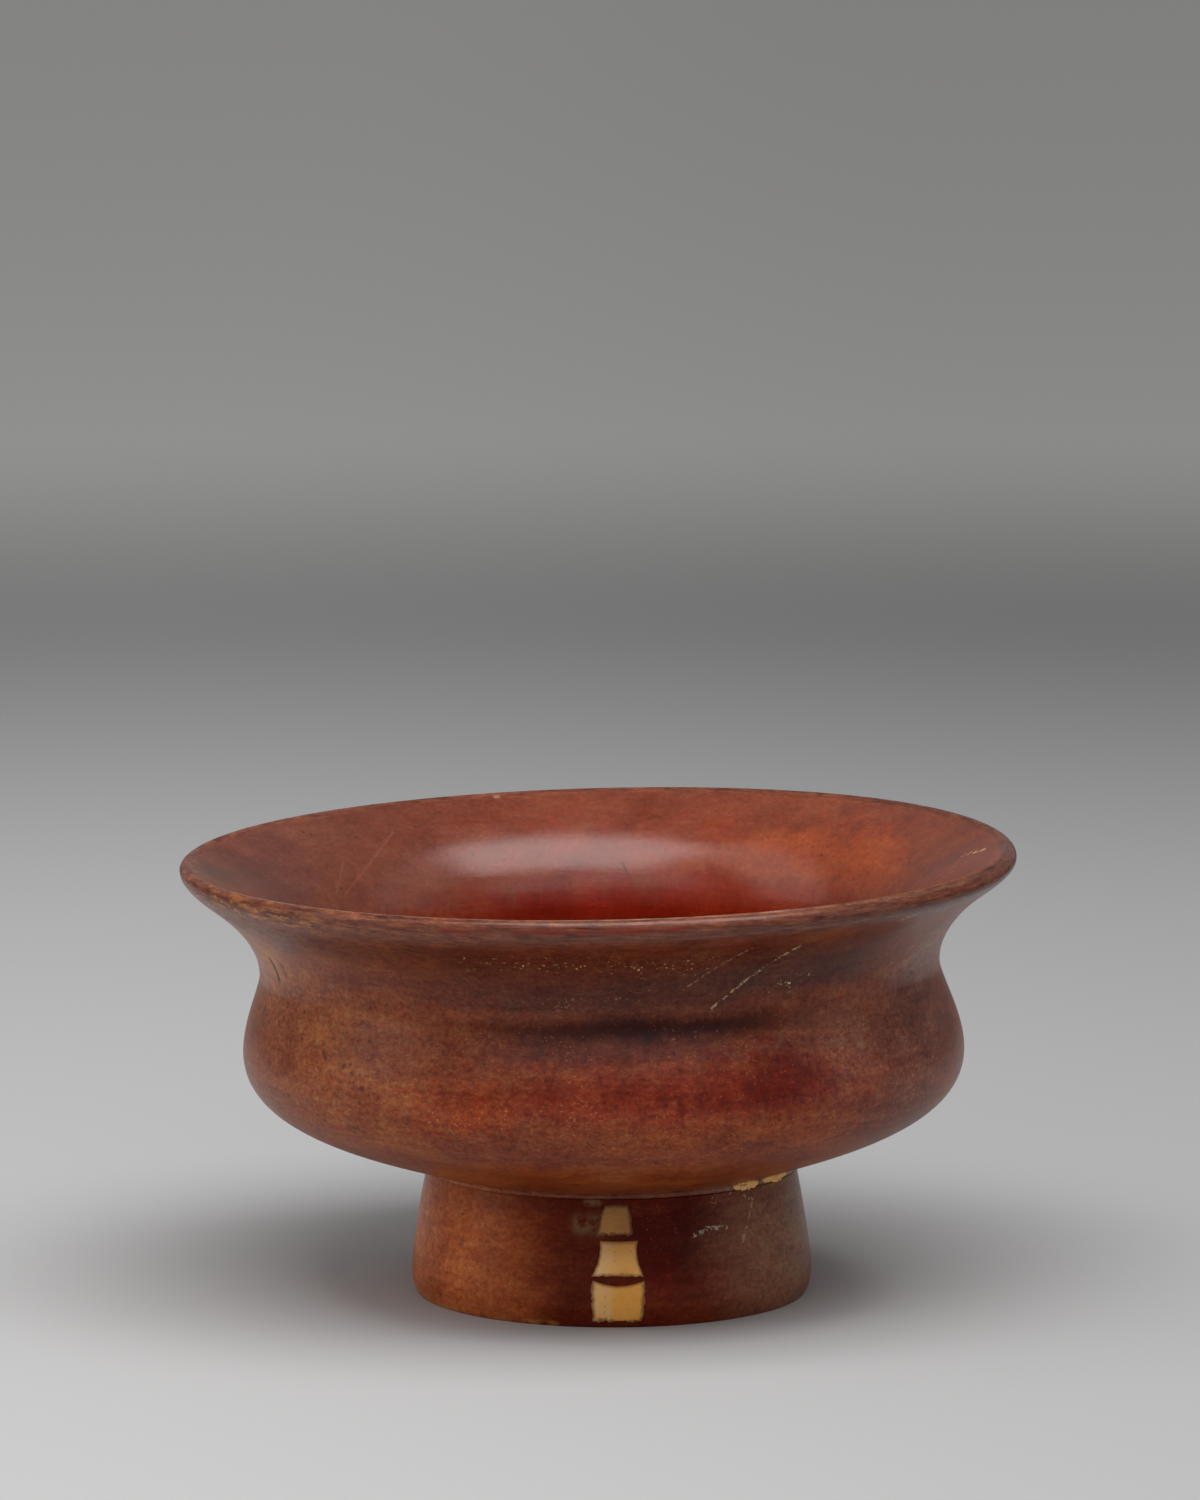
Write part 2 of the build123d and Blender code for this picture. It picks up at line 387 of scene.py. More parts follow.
class SlipCoat:
    """Node network of one slip finish, laid step by step."""

    # Strength of the bump and its depth in metres.
    BUMP = (0.35, 0.00012)
    # How far the roughness changes from patch to patch.
    ROUGH_SWING = 0.22
    # Distances from a tint's centre, in shares of its reach, at which it ends and at which it is full.
    TINT_BORDER = (1.25, 0.25)
    # Share of a mark's width within which it is at full strength.
    SOFT_CORE = 0.05
    SCRATCH_CORE = 0.4

    def __init__(self, finish: SlipFinish) -> None:
        """Starts the material, its coordinates and the noises that several steps share.

        Args:
            finish: The finish to lay.
        """
        self.finish = finish
        self.material, graph = start_material(finish.name)
        self.graph = graph
        self.place = graph.millimetres()
        self.stretched = graph.scaled(self.place, (0.6, 0.6, 1.0))
        turned = graph.scaled(self.place, (0.08, 0.08, 1.0))
        shift = graph.stray(self.place, 1.3, 2.0, 0.5, (1.2, 1.2, 0.9))
        self.warped = graph.vector("ADD", self.place, shift)
        self.patches = graph.noise(self.stretched, 0.20, 5.0, 0.68)
        self.streaks = graph.noise(turned, 1.2, 4.0, 0.62)
        self.grain = graph.noise(graph.scaled(self.place, (0.8, 0.8, 1.0)), 1.5, 3.0, 0.75)
        self.flames = graph.noise(graph.scaled(self.place, (1.0, 1.0, 0.3)), 0.42, 3.0, 0.6)
        self.inside = graph.attribute("inside")
        self.lip = graph.attribute("lip")
        self.edge = graph.attribute("edge")
        self.flats = {side: finish.unrolling.lay(graph, self.place, side) for side in Side}
        outside = graph.minus(1.0, self.inside, clamp=True)
        self.faces = {Side.OUTER: outside, Side.INNER: self.inside}
        self.colour = graph.mix(self.inside, finish.ground, finish.inner_ground)
        self.relief = graph.plus(graph.times(self.streaks, 0.6), graph.times(self.grain, 0.4))
        below = self.ROUGH_SWING / 2
        level = self._by_face(finish.roughness - below, finish.inner_roughness - below)
        self.rough = graph.plus(graph.times(self.patches, self.ROUGH_SWING), level)

    def _by_face(self, outer: float, inner: float) -> Socket:
        """One number on the outer face and another on the inner one."""
        return self.graph.step(self.inside, 0.0, 1.0, outer, inner)

    def _cover(self, mask: object, colour: object, blend: str = "MIX") -> None:
        """Mixes another colour over the coat where a mask is set."""
        self.colour = self.graph.mix(mask, self.colour, colour, blend)

    def lay_ground(self) -> None:
        """Mixes the zones of other colour into the ground, with ragged borders."""
        graph = self.graph
        drift = graph.stray(self.stretched, 0.11, 4.0, 0.62, (26.0, 8.0, 0.0))
        rise = graph.swing(self.flames, 9.0)
        drift = graph.vector("ADD", drift, graph.combine(0.0, rise))
        for tint in self.finish.tints:
            strayed = graph.scaled(drift, (tint.ragged, tint.ragged, 0.0))
            offset = graph.vector("SUBTRACT", self.flats[tint.side], (*tint.centre, 0.0))
            offset = graph.vector("ADD", offset, strayed)
            away = graph.measure("LENGTH", graph.vector("DIVIDE", offset, (*tint.reach, 1.0)))
            zone = graph.step(away, *self.TINT_BORDER, 0.0, tint.strength)
            self._cover(graph.times(zone, self.faces[tint.side]), tint.colour)

    def mottle(self) -> None:
        """Varies the ground in clouds, smudges, turning streaks and grain, and lays a dull film over it.

        All but the clouds are weaker on the inner face.
        """
        graph, finish = self.graph, self.finish
        clouds = graph.noise(self.place, 0.05, 3.0, 0.6)
        smudges = graph.noise(self.stretched, 0.20, 4.0, 0.90)
        fine: Socket | float = 0.0
        for part, weight in ((smudges, 0.8), (self.streaks, 0.6), (self.grain, 1.3)):
            fine = graph.plus(graph.swing(part, weight), fine)
        share = self._by_face(finish.mottling, 0.40 * finish.mottling)
        tone = graph.plus(graph.times(fine, share), 0.5)
        shade = graph.shade(tone, 0.05, (0.40, 0.20, 0.15), 0.95, (1.48, 2.2, 2.1))
        self._cover(1.0, shade, "MULTIPLY")
        wide = graph.times(graph.plus(clouds, self.patches), 0.5)
        warmth = graph.shade(wide, 0.25, (0.62, 0.48, 0.42), 0.75, (1.35, 1.45, 1.2))
        self._cover(1.0, warmth, "MULTIPLY")
        film = graph.noise(graph.vector("ADD", self.stretched, (37.0, 11.0, 5.0)), 0.8, 4.0, 0.85)
        hue = graph.shade(film, 0.34, (1.05, 0.62, 0.50), 0.66, (0.96, 1.45, 1.7))
        self._cover(self._by_face(finish.film, 0.6 * finish.film), hue, "MULTIPLY")

    def fleck(self) -> None:
        """Adds the pores where the body shows through, and specks and blots of soot."""
        graph, finish = self.graph, self.finish
        pores = graph.scaled(self.warped, (0.6, 0.6, 1.0))
        fleck = self._scatter(pores, 2.8, (0.20, 1.0), 0.46, 0.25)
        fleck = graph.times(fleck, graph.step(self.patches, 0.38, 0.62, 0.12, 0.75))
        fleck = graph.times(fleck, self._by_face(finish.flecks, 0.35))
        x, _, z = graph.split(self.place)
        fleck = graph.times(fleck, graph.step(z, *finish.quiet_neck, 0.22, 1.0))
        self._cover(fleck, finish.fleck)
        self.relief = graph.minus(self.relief, graph.times(fleck, 0.4))
        pits = self._scatter(graph.scaled(self.warped, (0.7, 0.7, 1.0)), 1.5, (0.45, 1.0), 0.30, 0.16)
        self._cover(graph.times(pits, 0.45), finish.soot)
        distance, chance = graph.cells(self.place, 0.24)
        speck = graph.times(graph.step(distance, 0.09, 0.04), graph.step(chance, 0.35, 0.45))
        side = graph.step(x, *finish.worn_side, 0.25, 1.0)
        blots = graph.step(graph.noise(self.stretched, 0.62, 5.0, 0.7), 0.60, 0.72)
        blots = graph.times(blots, graph.step(graph.noise(self.place, 0.09, 2.0), 0.44, 0.62))
        soot = graph.math("MAXIMUM", graph.times(speck, 0.8), graph.times(blots, side))
        self._cover(graph.times(soot, 0.7), finish.soot)

    def _scatter(self, place: Socket, scale: float, chances: Span, size: float, soft: float) -> Socket:
        """Mask of scattered grains whose sizes differ.

        Args:
            place: Coordinates that the grains lie in.
            scale: Grains per unit of those coordinates.
            chances: Random numbers below the first give no grain, the second gives the largest one.
            size: Radius of the largest grain, as a share of the spacing.
            soft: Width of its border, as a share of the spacing.

        Returns:
            1 in the middle of a grain and 0 outside.
        """
        graph = self.graph
        distance, chance = graph.cells(place, scale)
        return graph.step(graph.minus(graph.step(chance, *chances, 0.0, size), distance), 0.0, soft)

    def wear_lip(self) -> None:
        """Browns the lip and rubs it through in patches, most of all on the worn side."""
        graph, finish = self.graph, self.finish
        x, y, _ = graph.split(self.place)
        side = graph.times(graph.step(x, *finish.worn_side, 0.05, 0.5),
                           graph.step(y, *finish.worn_front, 0.15, 1.0))
        brown = graph.mix(graph.step(x, *finish.sound_side), finish.lip, finish.sound_lip)
        self._cover(graph.times(self.lip, 0.75), brown)
        bands = graph.noise(graph.scaled(self.place, (0.16, 0.16, 1.6)), 1.5, 5.0, 0.75)
        shade = graph.shade(bands, 0.33, (0.38, 0.22, 0.18), 0.68, (1.7, 2.0, 2.1))
        self._cover(self.lip, graph.mix(1.0, self.colour, shade, "MULTIPLY"))
        chips = graph.noise(graph.scaled(self.flats[Side.OUTER], (0.35, 1.1, 0.0)), 1.0, 5.0, 0.72)
        worn = graph.times(graph.step(chips, 0.50, 0.64), graph.times(self.lip, side))
        grime = graph.times(graph.step(chips, 0.48, 0.36), graph.times(self.lip, side))
        self._cover(worn, finish.lip_wear)
        self._cover(graph.times(grime, 0.8), finish.soot)
        self.relief = graph.minus(self.relief, graph.times(worn, 0.5))
        rubbed = graph.step(graph.noise(self.place, 0.22, 5.0, 0.7), 0.36, 0.60, 0.10, 0.75)
        rubbed = graph.times(rubbed, graph.step(y, *finish.crest_front))
        rubbed = graph.times(rubbed, graph.step(x, *finish.crest_side, 1.0, 0.40))
        self._cover(graph.times(self.edge, rubbed), finish.crest)

    def mark(self) -> None:
        """Lays the scratches, dots, smears and nicks; the dark nicks on the outer neck are painted shade
        for dents.
        """
        graph = self.graph
        broken = graph.step(graph.noise(self.place, 1.3, 3.0, 0.7), 0.47, 0.60)
        patchy = graph.step(graph.noise(self.place, 0.45, 4.0, 0.7), 0.36, 0.62)
        dots = self._scatter(self.warped, 1.9, (0.35, 1.0), 0.46, 0.18)
        spots = self._scatter(self.warped, 0.75, (0.30, 1.0), 0.44, 0.24)
        dots = graph.times(dots, graph.step(patchy, 0.0, 1.0, 0.4, 1.0))
        flames = graph.times(graph.step(self.flames, 0.48, 0.66), graph.step(patchy, 0.0, 1.0, 0.3, 1.0))
        lines = graph.noise(graph.scaled(self.flats[Side.OUTER], (0.42, 1.6, 0.0)), 1.1, 5.0, 0.78)
        textures = {
            MarkKind.SCRATCH: broken, MarkKind.DOTS: dots, MarkKind.SPOTS: spots, MarkKind.SMEAR: patchy,
            MarkKind.FLAMES: flames, MarkKind.STREAKS: graph.step(lines, 0.49, 0.62),
        }
        for mark in self.finish.marks:
            away = self._stroke_distance(self.flats[mark.side], mark)
            core = self.SCRATCH_CORE if mark.kind is MarkKind.SCRATCH else self.SOFT_CORE
            mask = graph.step(away, mark.width, mark.width * core, 0.0, mark.strength)
            mask = graph.times(mask, self.faces[mark.side])
            if mark.kind in textures:
                mask = graph.times(mask, textures[mark.kind])
            self._cover(mask, mark.colour)
            self.rough = graph.plus(self.rough, graph.times(mask, 0.2), clamp=True)

    def _stroke_distance(self, flat: Socket, mark: Mark) -> Socket:
        """Distance of an unrolled place from a mark's stroke, in millimetres."""
        graph = self.graph
        way = (mark.end[0] - mark.start[0], mark.end[1] - mark.start[1], 0.0)
        length_squared = max(way[0] ** 2 + way[1] ** 2, 1e-6)
        offset = graph.vector("SUBTRACT", flat, (*mark.start, 0.0))
        share = graph.math("DIVIDE", graph.measure("DOT_PRODUCT", offset, way), length_squared, clamp=True)
        inputs = {0: way, "Scale": share}
        along = graph.add("ShaderNodeVectorMath", {"operation": "SCALE"}, inputs).outputs[0]
        return graph.measure("DISTANCE", offset, along)

    def bare(self) -> None:
        """Leaves the inner face without slip, as dry body."""
        graph, body = self.graph, self.finish.body
        dry = graph.mix(graph.noise(self.place, 0.5, 5.0, 0.7), body, dim(body, 0.55))
        edge = graph.plus(self.inside, graph.times(self.grain, 0.2))
        bare = graph.step(edge, 0.45, 0.75)
        self._cover(bare, dry)
        self.rough = graph.plus(self.rough, graph.times(bare, 0.4), clamp=True)

    def _sheen(self) -> Socket:
        """Specular level where it differs: higher inside and on the lip, low where hands hold the bowl."""
        graph, finish = self.graph, self.finish
        gloss = self._by_face(finish.gloss, finish.inner_gloss)
        gloss = graph.plus(gloss, graph.times(self.lip, finish.lip_gloss))
        aside = graph.math("ABSOLUTE", graph.split(self.place)[0])
        return graph.times(gloss, graph.step(aside, *finish.held, 1.0, finish.held_gloss))

    def close(self) -> bpy.types.Material:
        """Feeds colour, roughness and relief to the shader and gives the finished material."""
        graph, finish = self.graph, self.finish
        normal = graph.bump(self.relief, *self.BUMP)
        rough = graph.minus(self.rough, graph.times(self.lip, finish.lip_polish))
        graph.surface({"Specular IOR Level": finish.gloss})
        if finish.gloss != finish.inner_gloss:
            graph.surface({"Specular IOR Level": self._sheen()})
        graph.surface({"Base Color": self.colour, "Roughness": rough, "Normal": normal})
        return self.material


@dataclass(frozen=True)
class FillFinish:
    """Dry scraped filler with brown specks, knife marks and a stained border.

    The colour is pale, deep to one side and low down, stained higher up and dusty at the top. Each span
    holds the two places, in millimetres across or up, between which that change runs.
    """

    name: str
    pale: Colour
    deep: Colour
    dusty: Colour
    deep_side: Span
    deep_below: Span = (7.6, 6.6)
    browned: Span = (8.6, 12.2)
    dusty_above: Span = (15.0, 17.0)
    stain: Colour = (0.40, 0.15, 0.035)
    roughness: float = 0.72
    bump: tuple[float, float] = (0.6, 0.00015)

    def build(self) -> bpy.types.Material:
        """The finish as a material.

        Returns:
            Material whose pattern follows Object coordinates.
        """
        material, graph = start_material(self.name)
        place = graph.millimetres()
        x, _, z = graph.split(place)
        blotch = graph.noise(place, 0.9, 5.0, 0.65)
        powder = graph.noise(place, 5.0, 3.0, 0.6)
        scraped = graph.noise(graph.scaled(place, (0.4, 0.4, 3.0)), 2.2, 3.0, 0.6)
        tone = graph.plus(graph.step(x, *self.deep_side, 0.0, 0.55), blotch)
        tone = graph.plus(graph.step(z, *self.deep_below, 0.0, 0.25), tone)
        tone = graph.minus(tone, 0.38, clamp=True)
        colour = graph.mix(tone, self.pale, self.deep)
        colour = graph.mix(graph.step(z, *self.browned, 0.0, 0.5), colour, self.stain)
        colour = graph.mix(graph.step(z, *self.dusty_above), colour, self.dusty)
        distance, chance = graph.cells(place, 1.4)
        speck = graph.times(graph.step(distance, 0.22, 0.10), graph.step(chance, 0.55, 0.75))
        colour = graph.mix(graph.times(speck, 0.50), colour, dim(self.deep, 0.25))
        colour = graph.mix(graph.step(powder, 0.55, 0.75, 0.0, 0.20), colour, dim(self.deep, 0.6))
        border = graph.plus(graph.attribute("border"), graph.swing(blotch, 0.7))
        colour = graph.mix(graph.step(border, 0.20, 1.05, 0.0, 0.9), colour, dim(self.stain, 0.6))
        relief = graph.plus(graph.times(scraped, 0.7), graph.times(powder, 0.5))
        normal = graph.bump(relief, *self.bump)
        rough = graph.plus(graph.times(powder, 0.2), self.roughness - 0.1)
        graph.surface({"Base Color": colour, "Roughness": rough, "Normal": normal})
        return material


@dataclass(frozen=True)
class FloorFinish:
    """Pale studio paper that greys behind the bowl, towards a soft horizon, as painted falloff of the
    lamps' light.

    Each span holds the two distances, in metres, between which a change runs.
    """

    name: str = "studio_paper"
    near: Colour = (0.51, 0.51, 0.51)
    grey: Colour = (0.32, 0.32, 0.32)
    greying: Span = (0.32, 0.82)
    far: Colour = (0.138, 0.136, 0.129)
    horizon: Span = (0.70, 1.15)
    # Painted shade: the paper darkens from left to right across this span, by the factors in sides, as the
    # light comes from the left.
    across: Span = (-0.12, 0.12)
    sides: tuple[float, float] = (1.06, 0.87)
    roughness: float = 0.9
    gloss: float = 0.1

    def build(self) -> bpy.types.Material:
        """The finish as a material.

        Returns:
            Material of the floor.
        """
        material, graph = start_material(self.name)
        coordinates = graph.add("ShaderNodeTexCoord").outputs["Object"]
        away = graph.measure("LENGTH", coordinates)
        seen = graph.add("ShaderNodeLightPath").outputs["Is Camera Ray"]
        glow = graph.times(graph.step(away, *self.horizon), seen)
        tone = graph.mix(graph.step(away, *self.greying), self.near, self.grey)
        side = graph.step(graph.split(coordinates)[0], *self.across, *self.sides)
        tone = graph.scaled(tone, graph.combine(side, side, side))
        graph.surface({
            "Base Color": tone,
            "Roughness": self.roughness,
            "Specular IOR Level": self.gloss,
            "Emission Color": (*self.far, 1.0),
            "Emission Strength": glow,
        })
        return material


@dataclass
class Section:
    """Half outline of a turned piece in millimetres, run upwards along its outside."""

    LABELS: ClassVar[tuple[str, ...]] = ("inside", "lip", "edge", "sag")
    # Height, in millimetres, within which a droop of the rim fades out.
    FADE: ClassVar[float] = 6.0
    name: str
    rim: float | None = None
    points: list[Point] = field(default_factory=list)
    inside: list[float] = field(default_factory=list)
    lip: list[float] = field(default_factory=list)
    edge: list[float] = field(default_factory=list)

    @property
    def sag(self) -> list[float]:
        """How far each point follows a drooping lip: fully on the outside at the rim, fading below it."""
        if self.rim is None:
            return [0.0] * len(self.points)
        return [max(0.0, 1.0 - abs(z - self.rim) / self.FADE) ** 2 * (1.0 - inner)
                for (_, z), inner in zip(self.points, self.inside)]

    def run(self, points: np.ndarray, inside: float, lip: tuple[float, float] = (0.0, 0.0)) -> None:
        """Adds a run of points, leaving out a first one that is already there.

        Args:
            points: Rows of radius and height.
            inside: 0 on the outer face and 1 on the inner one.
            lip: How far the run's start and end belong to a lip, from 0 to 1.
        """
        shares = np.linspace(*lip, len(points))
        for (radius, height), share in zip(points, shares):
            if self.points and math.dist(self.points[-1], (radius, height)) < 1e-4:
                continue
            self.points.append((float(radius), float(height)))
            self.inside.append(inside)
            self.lip.append(float(min(max(share, 0.0), 1.0)))
            self.edge.append(0.0)

    def line_mesh(self) -> bpy.types.Mesh:
        """The outline as a chain of edges, with its face, lip, crest and sag numbers on the points."""
        mesh = bpy.data.meshes.new(self.name)
        places = [(radius * MM, 0.0, height * MM) for radius, height in self.points]
        mesh.from_pydata(places, [(i, i + 1) for i in range(len(places) - 1)], [])
        for label in self.LABELS:
            mesh.attributes.new(label, "FLOAT", "POINT").data.foreach_set("value", getattr(self, label))
        return mesh

    def radius_at(self, height: float) -> float:
        """Outer radius at a height, in millimetres."""
        outer = [p for p, inside in zip(self.points, self.inside) if inside < 0.5]
        return float(np.interp(height, [p[1] for p in outer], [p[0] for p in outer]))


def bend(start: Point, start_way: float, start_run: float, end: Point, end_way: float, end_run: float,
         steps: int = 24) -> np.ndarray:
    """Curve between two points with given headings.

    Args:
        start: First point, as radius and height.
        start_way: Heading at the first point in degrees, 0 outwards and 90 up.
        start_run: How far the curve follows that heading, in millimetres.
        end: Last point.
        end_way: Heading at the last point in degrees.
        end_run: How far the curve follows that heading, in millimetres.
        steps: Number of straight steps.

    Returns:
        Rows of radius and height.
    """
    first, last = np.array(start), np.array(end)
    leave, come = (np.array([math.cos(way), math.sin(way)]) * reach for way, reach in (
        (math.radians(start_way), start_run), (math.radians(end_way), end_run)))
    t = np.linspace(0.0, 1.0, steps + 1)[:, None]
    s = 1.0 - t
    return s**3 * first + 3 * s**2 * t * (first + leave) + 3 * s * t**2 * (last - come) + t**3 * last


def straight(start: Point, end: Point, steps: int) -> np.ndarray:
    """Straight run between two points of a section."""
    return np.linspace(np.array(start), np.array(end), steps + 1)


@dataclass(frozen=True)
class Warp:
    """Drift of a wall's centre and lean of its rings, which both grow with height.

    Lengths are millimetres and leans degrees. Base and span are the heights where the growth starts and how
    far up it runs. Centre holds the place at the base, its drift over the span and the bend of that drift.
    Lean holds the lean to the right at the base and its growth. Droop is how far the near right lip sags.
    """

    base: float = 0.0
    span: float = 1.0
    centre: tuple[float, float, float] = (0.0, 0.0, 0.0)
    lean: tuple[float, float] = (0.0, 0.0)
    back_lean: float = 0.0
    droop: float = 0.0


class TurnedWall:
    """Geometry Nodes tree that turns a section about its axis and warps the wall as firing does."""

    SOCKETS = (
        ("Section", "NodeSocketGeometry"),
        ("Segments", "NodeSocketInt"),
        ("Warp base", "NodeSocketFloat"),
        ("Warp span", "NodeSocketFloat"),
        ("Centre", "NodeSocketFloat"),
        ("Centre drift", "NodeSocketFloat"),
        ("Centre bend", "NodeSocketFloat"),
        ("Lean", "NodeSocketFloat"),
        ("Lean growth", "NodeSocketFloat"),
        ("Back lean", "NodeSocketFloat"),
        ("Droop", "NodeSocketFloat"),
        ("Unevenness", "NodeSocketFloat"),
        ("Seed", "NodeSocketInt"),
        ("Finish", "NodeSocketMaterial"),
    )
    # Radius of the circle that the unevenness follows in its noise, and noise units per metre of height.
    WAVES_ROUND = 1.3
    WAVES_UP = 45.0
    # Radius, in metres, within which the unevenness fades out towards the axis.
    CALM_RADIUS = 0.02
    # Share of the droop straight to the side, and what is added to it towards the front.
    NEARNESS = (0.325, 0.675)
    # Points closer than this, in metres, become one.
    MERGE = 0.000004

    def __init__(self) -> None:
        """Builds the tree once for every turned piece."""
        self.tree = bpy.data.node_groups.new("turned_wall", "GeometryNodeTree")
        self.keys: dict[str, str] = {}
        for name, kind in self.SOCKETS:
            socket = self.tree.interface.new_socket(name, in_out="INPUT", socket_type=kind)
            self.keys[name] = socket.identifier
        self.tree.interface.new_socket("Wall", in_out="OUTPUT", socket_type="NodeSocketGeometry")
        self._join()

    def _join(self) -> None:
        """Adds the nodes: a grid of rings and segments, each set at its place on the warped wall."""
        graph = Graph(self.tree)
        given = graph.add("NodeGroupInput").outputs
        size = graph.add("GeometryNodeAttributeDomainSize", {"component": "MESH"}, {0: given["Section"]})
        rings = size.outputs["Point Count"]
        grid = graph.add("GeometryNodeMeshGrid", None, {
            "Vertices X": graph.plus(given["Segments"], 1.0), "Vertices Y": rings})
        index = graph.add("GeometryNodeInputIndex").outputs[0]
        segment = graph.math("FLOOR", graph.math("DIVIDE", graph.plus(index, 0.5), rings))
        ring = graph.minus(index, graph.times(segment, rings))
        turn = graph.times(graph.math("DIVIDE", segment, given["Segments"]), 2.0 * math.pi)
        position = graph.add("GeometryNodeInputPosition").outputs[0]
        outline = graph.add("GeometryNodeSampleIndex", {"data_type": "FLOAT_VECTOR"}, {
            "Geometry": given["Section"], "Value": position, "Index": ring}).outputs[0]
        radius, _, height = graph.split(outline)
        read = {label: self._read(graph, given["Section"], label, ring) for label in Section.LABELS}
        cosine, sine = graph.math("COSINE", turn), graph.math("SINE", turn)

        spot = graph.combine(graph.times(cosine, self.WAVES_ROUND), graph.times(sine, self.WAVES_ROUND),
                             graph.times(height, self.WAVES_UP))
        wobble = graph.add("ShaderNodeTexNoise", {"noise_dimensions": "4D"}, {
            "Vector": spot, "W": given["Seed"], "Scale": 1.0, "Detail": 2.0}).outputs[0]
        swell = graph.swing(wobble, given["Unevenness"])
        swell = graph.times(swell, graph.step(radius, 0.0, self.CALM_RADIUS))
        radius = graph.plus(radius, swell)

        rise = graph.math("DIVIDE", graph.minus(height, given["Warp base"]), given["Warp span"])
        growth = graph.plus(given["Centre drift"], graph.times(given["Centre bend"], rise))
        centre = graph.plus(given["Centre"], graph.times(growth, rise))
        lean = graph.plus(given["Lean"], graph.times(given["Lean growth"], rise))
        across, deep = graph.times(radius, cosine), graph.times(radius, sine)
        back_lean = graph.times(given["Back lean"], rise)
        height = graph.plus(height, graph.times(across, graph.math("SINE", lean)))
        height = graph.plus(height, graph.times(deep, graph.math("SINE", back_lean)))
        side = graph.math("POWER", graph.times(graph.plus(cosine, 1.0), 0.5), 3.0)
        nearness = graph.minus(self.NEARNESS[0], graph.times(sine, self.NEARNESS[1]))
        side = graph.times(side, nearness)
        sag = graph.times(graph.times(read["sag"], side), given["Droop"])
        x = graph.plus(centre, graph.times(across, graph.math("COSINE", lean)))
        place = graph.combine(x, deep, graph.minus(height, sag))
        wall = graph.add("GeometryNodeSetPosition", None, {
            "Geometry": grid.outputs["Mesh"], "Position": place}).outputs[0]
        for label in ("inside", "lip", "edge"):
            wall = graph.add("GeometryNodeStoreNamedAttribute", {"data_type": "FLOAT", "domain": "POINT"}, {
                "Geometry": wall, "Name": label, "Value": read[label]}).outputs[0]
        for kind, inputs in (
            ("GeometryNodeMergeByDistance", {"Distance": self.MERGE}),
            ("GeometryNodeSetShadeSmooth", {}),
            ("GeometryNodeRealizeInstances", {}),
            ("GeometryNodeSetMaterial", {"Material": given["Finish"]}),
        ):
            wall = graph.add(kind, None, {"Geometry": wall, **inputs}).outputs[0]
        graph.add("NodeGroupOutput", None, {0: wall})

    @staticmethod
    def _read(graph: Graph, section: Socket, label: str, ring: Socket) -> Socket:
        """Number that the section carries at a ring."""
        named = graph.add("GeometryNodeInputNamedAttribute", {"data_type": "FLOAT"}, {"Name": label})
        inputs = {"Geometry": section, "Value": named.outputs["Attribute"], "Index": ring}
        return graph.add("GeometryNodeSampleIndex", {"data_type": "FLOAT"}, inputs).outputs[0]

    def turn(self, section: Section, segments: int, warp: Warp, unevenness: float, seed: int,
             finish: bpy.types.Material) -> bpy.types.Object:
        """Turns one section into a plain mesh object.

        Args:
            section: Half outline of the piece.
            segments: Steps round the axis.
            warp: Drift and lean, in millimetres and degrees.
            unevenness: Swing of the radius in millimetres.
            seed: Seed of the unevenness.
            finish: Material of the piece.

        Returns:
            Object at the origin with a plain closed mesh.
        """
        holder = put(section.name + "_section", section.line_mesh())
        modifier = holder.modifiers.new("turned_wall", "NODES")
        modifier.node_group = self.tree
        values = {
            "Segments": segments, "Warp base": warp.base * MM, "Warp span": warp.span * MM,
            "Centre": warp.centre[0] * MM, "Centre drift": warp.centre[1] * MM,
            "Centre bend": warp.centre[2] * MM,
            "Lean": math.radians(warp.lean[0]), "Lean growth": math.radians(warp.lean[1]),
            "Back lean": math.radians(warp.back_lean), "Droop": warp.droop * MM,
            "Unevenness": unevenness * MM, "Seed": seed, "Finish": finish,
        }
        for name, value in values.items():
            modifier[self.keys[name]] = value
        mesh = worked_mesh(holder)
        holder.modifiers.remove(modifier)
        bpy.data.objects.remove(holder)
        mesh.name = section.name
        mesh.set_sharp_from_angle(angle=SHARP)
        return put(section.name, mesh)


def settle(piece: bpy.types.Object, node: str) -> None:
    """Sets a finished piece on the body in place of a solid.

    Args:
        piece: Finished object.
        node: Solid that it stands for.
    """
    piece.name = piece.data.name = "dressed_" + node
    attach(piece, "root")
    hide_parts(node)
    log.info("%s: %d faces", piece.name, len(piece.data.polygons))


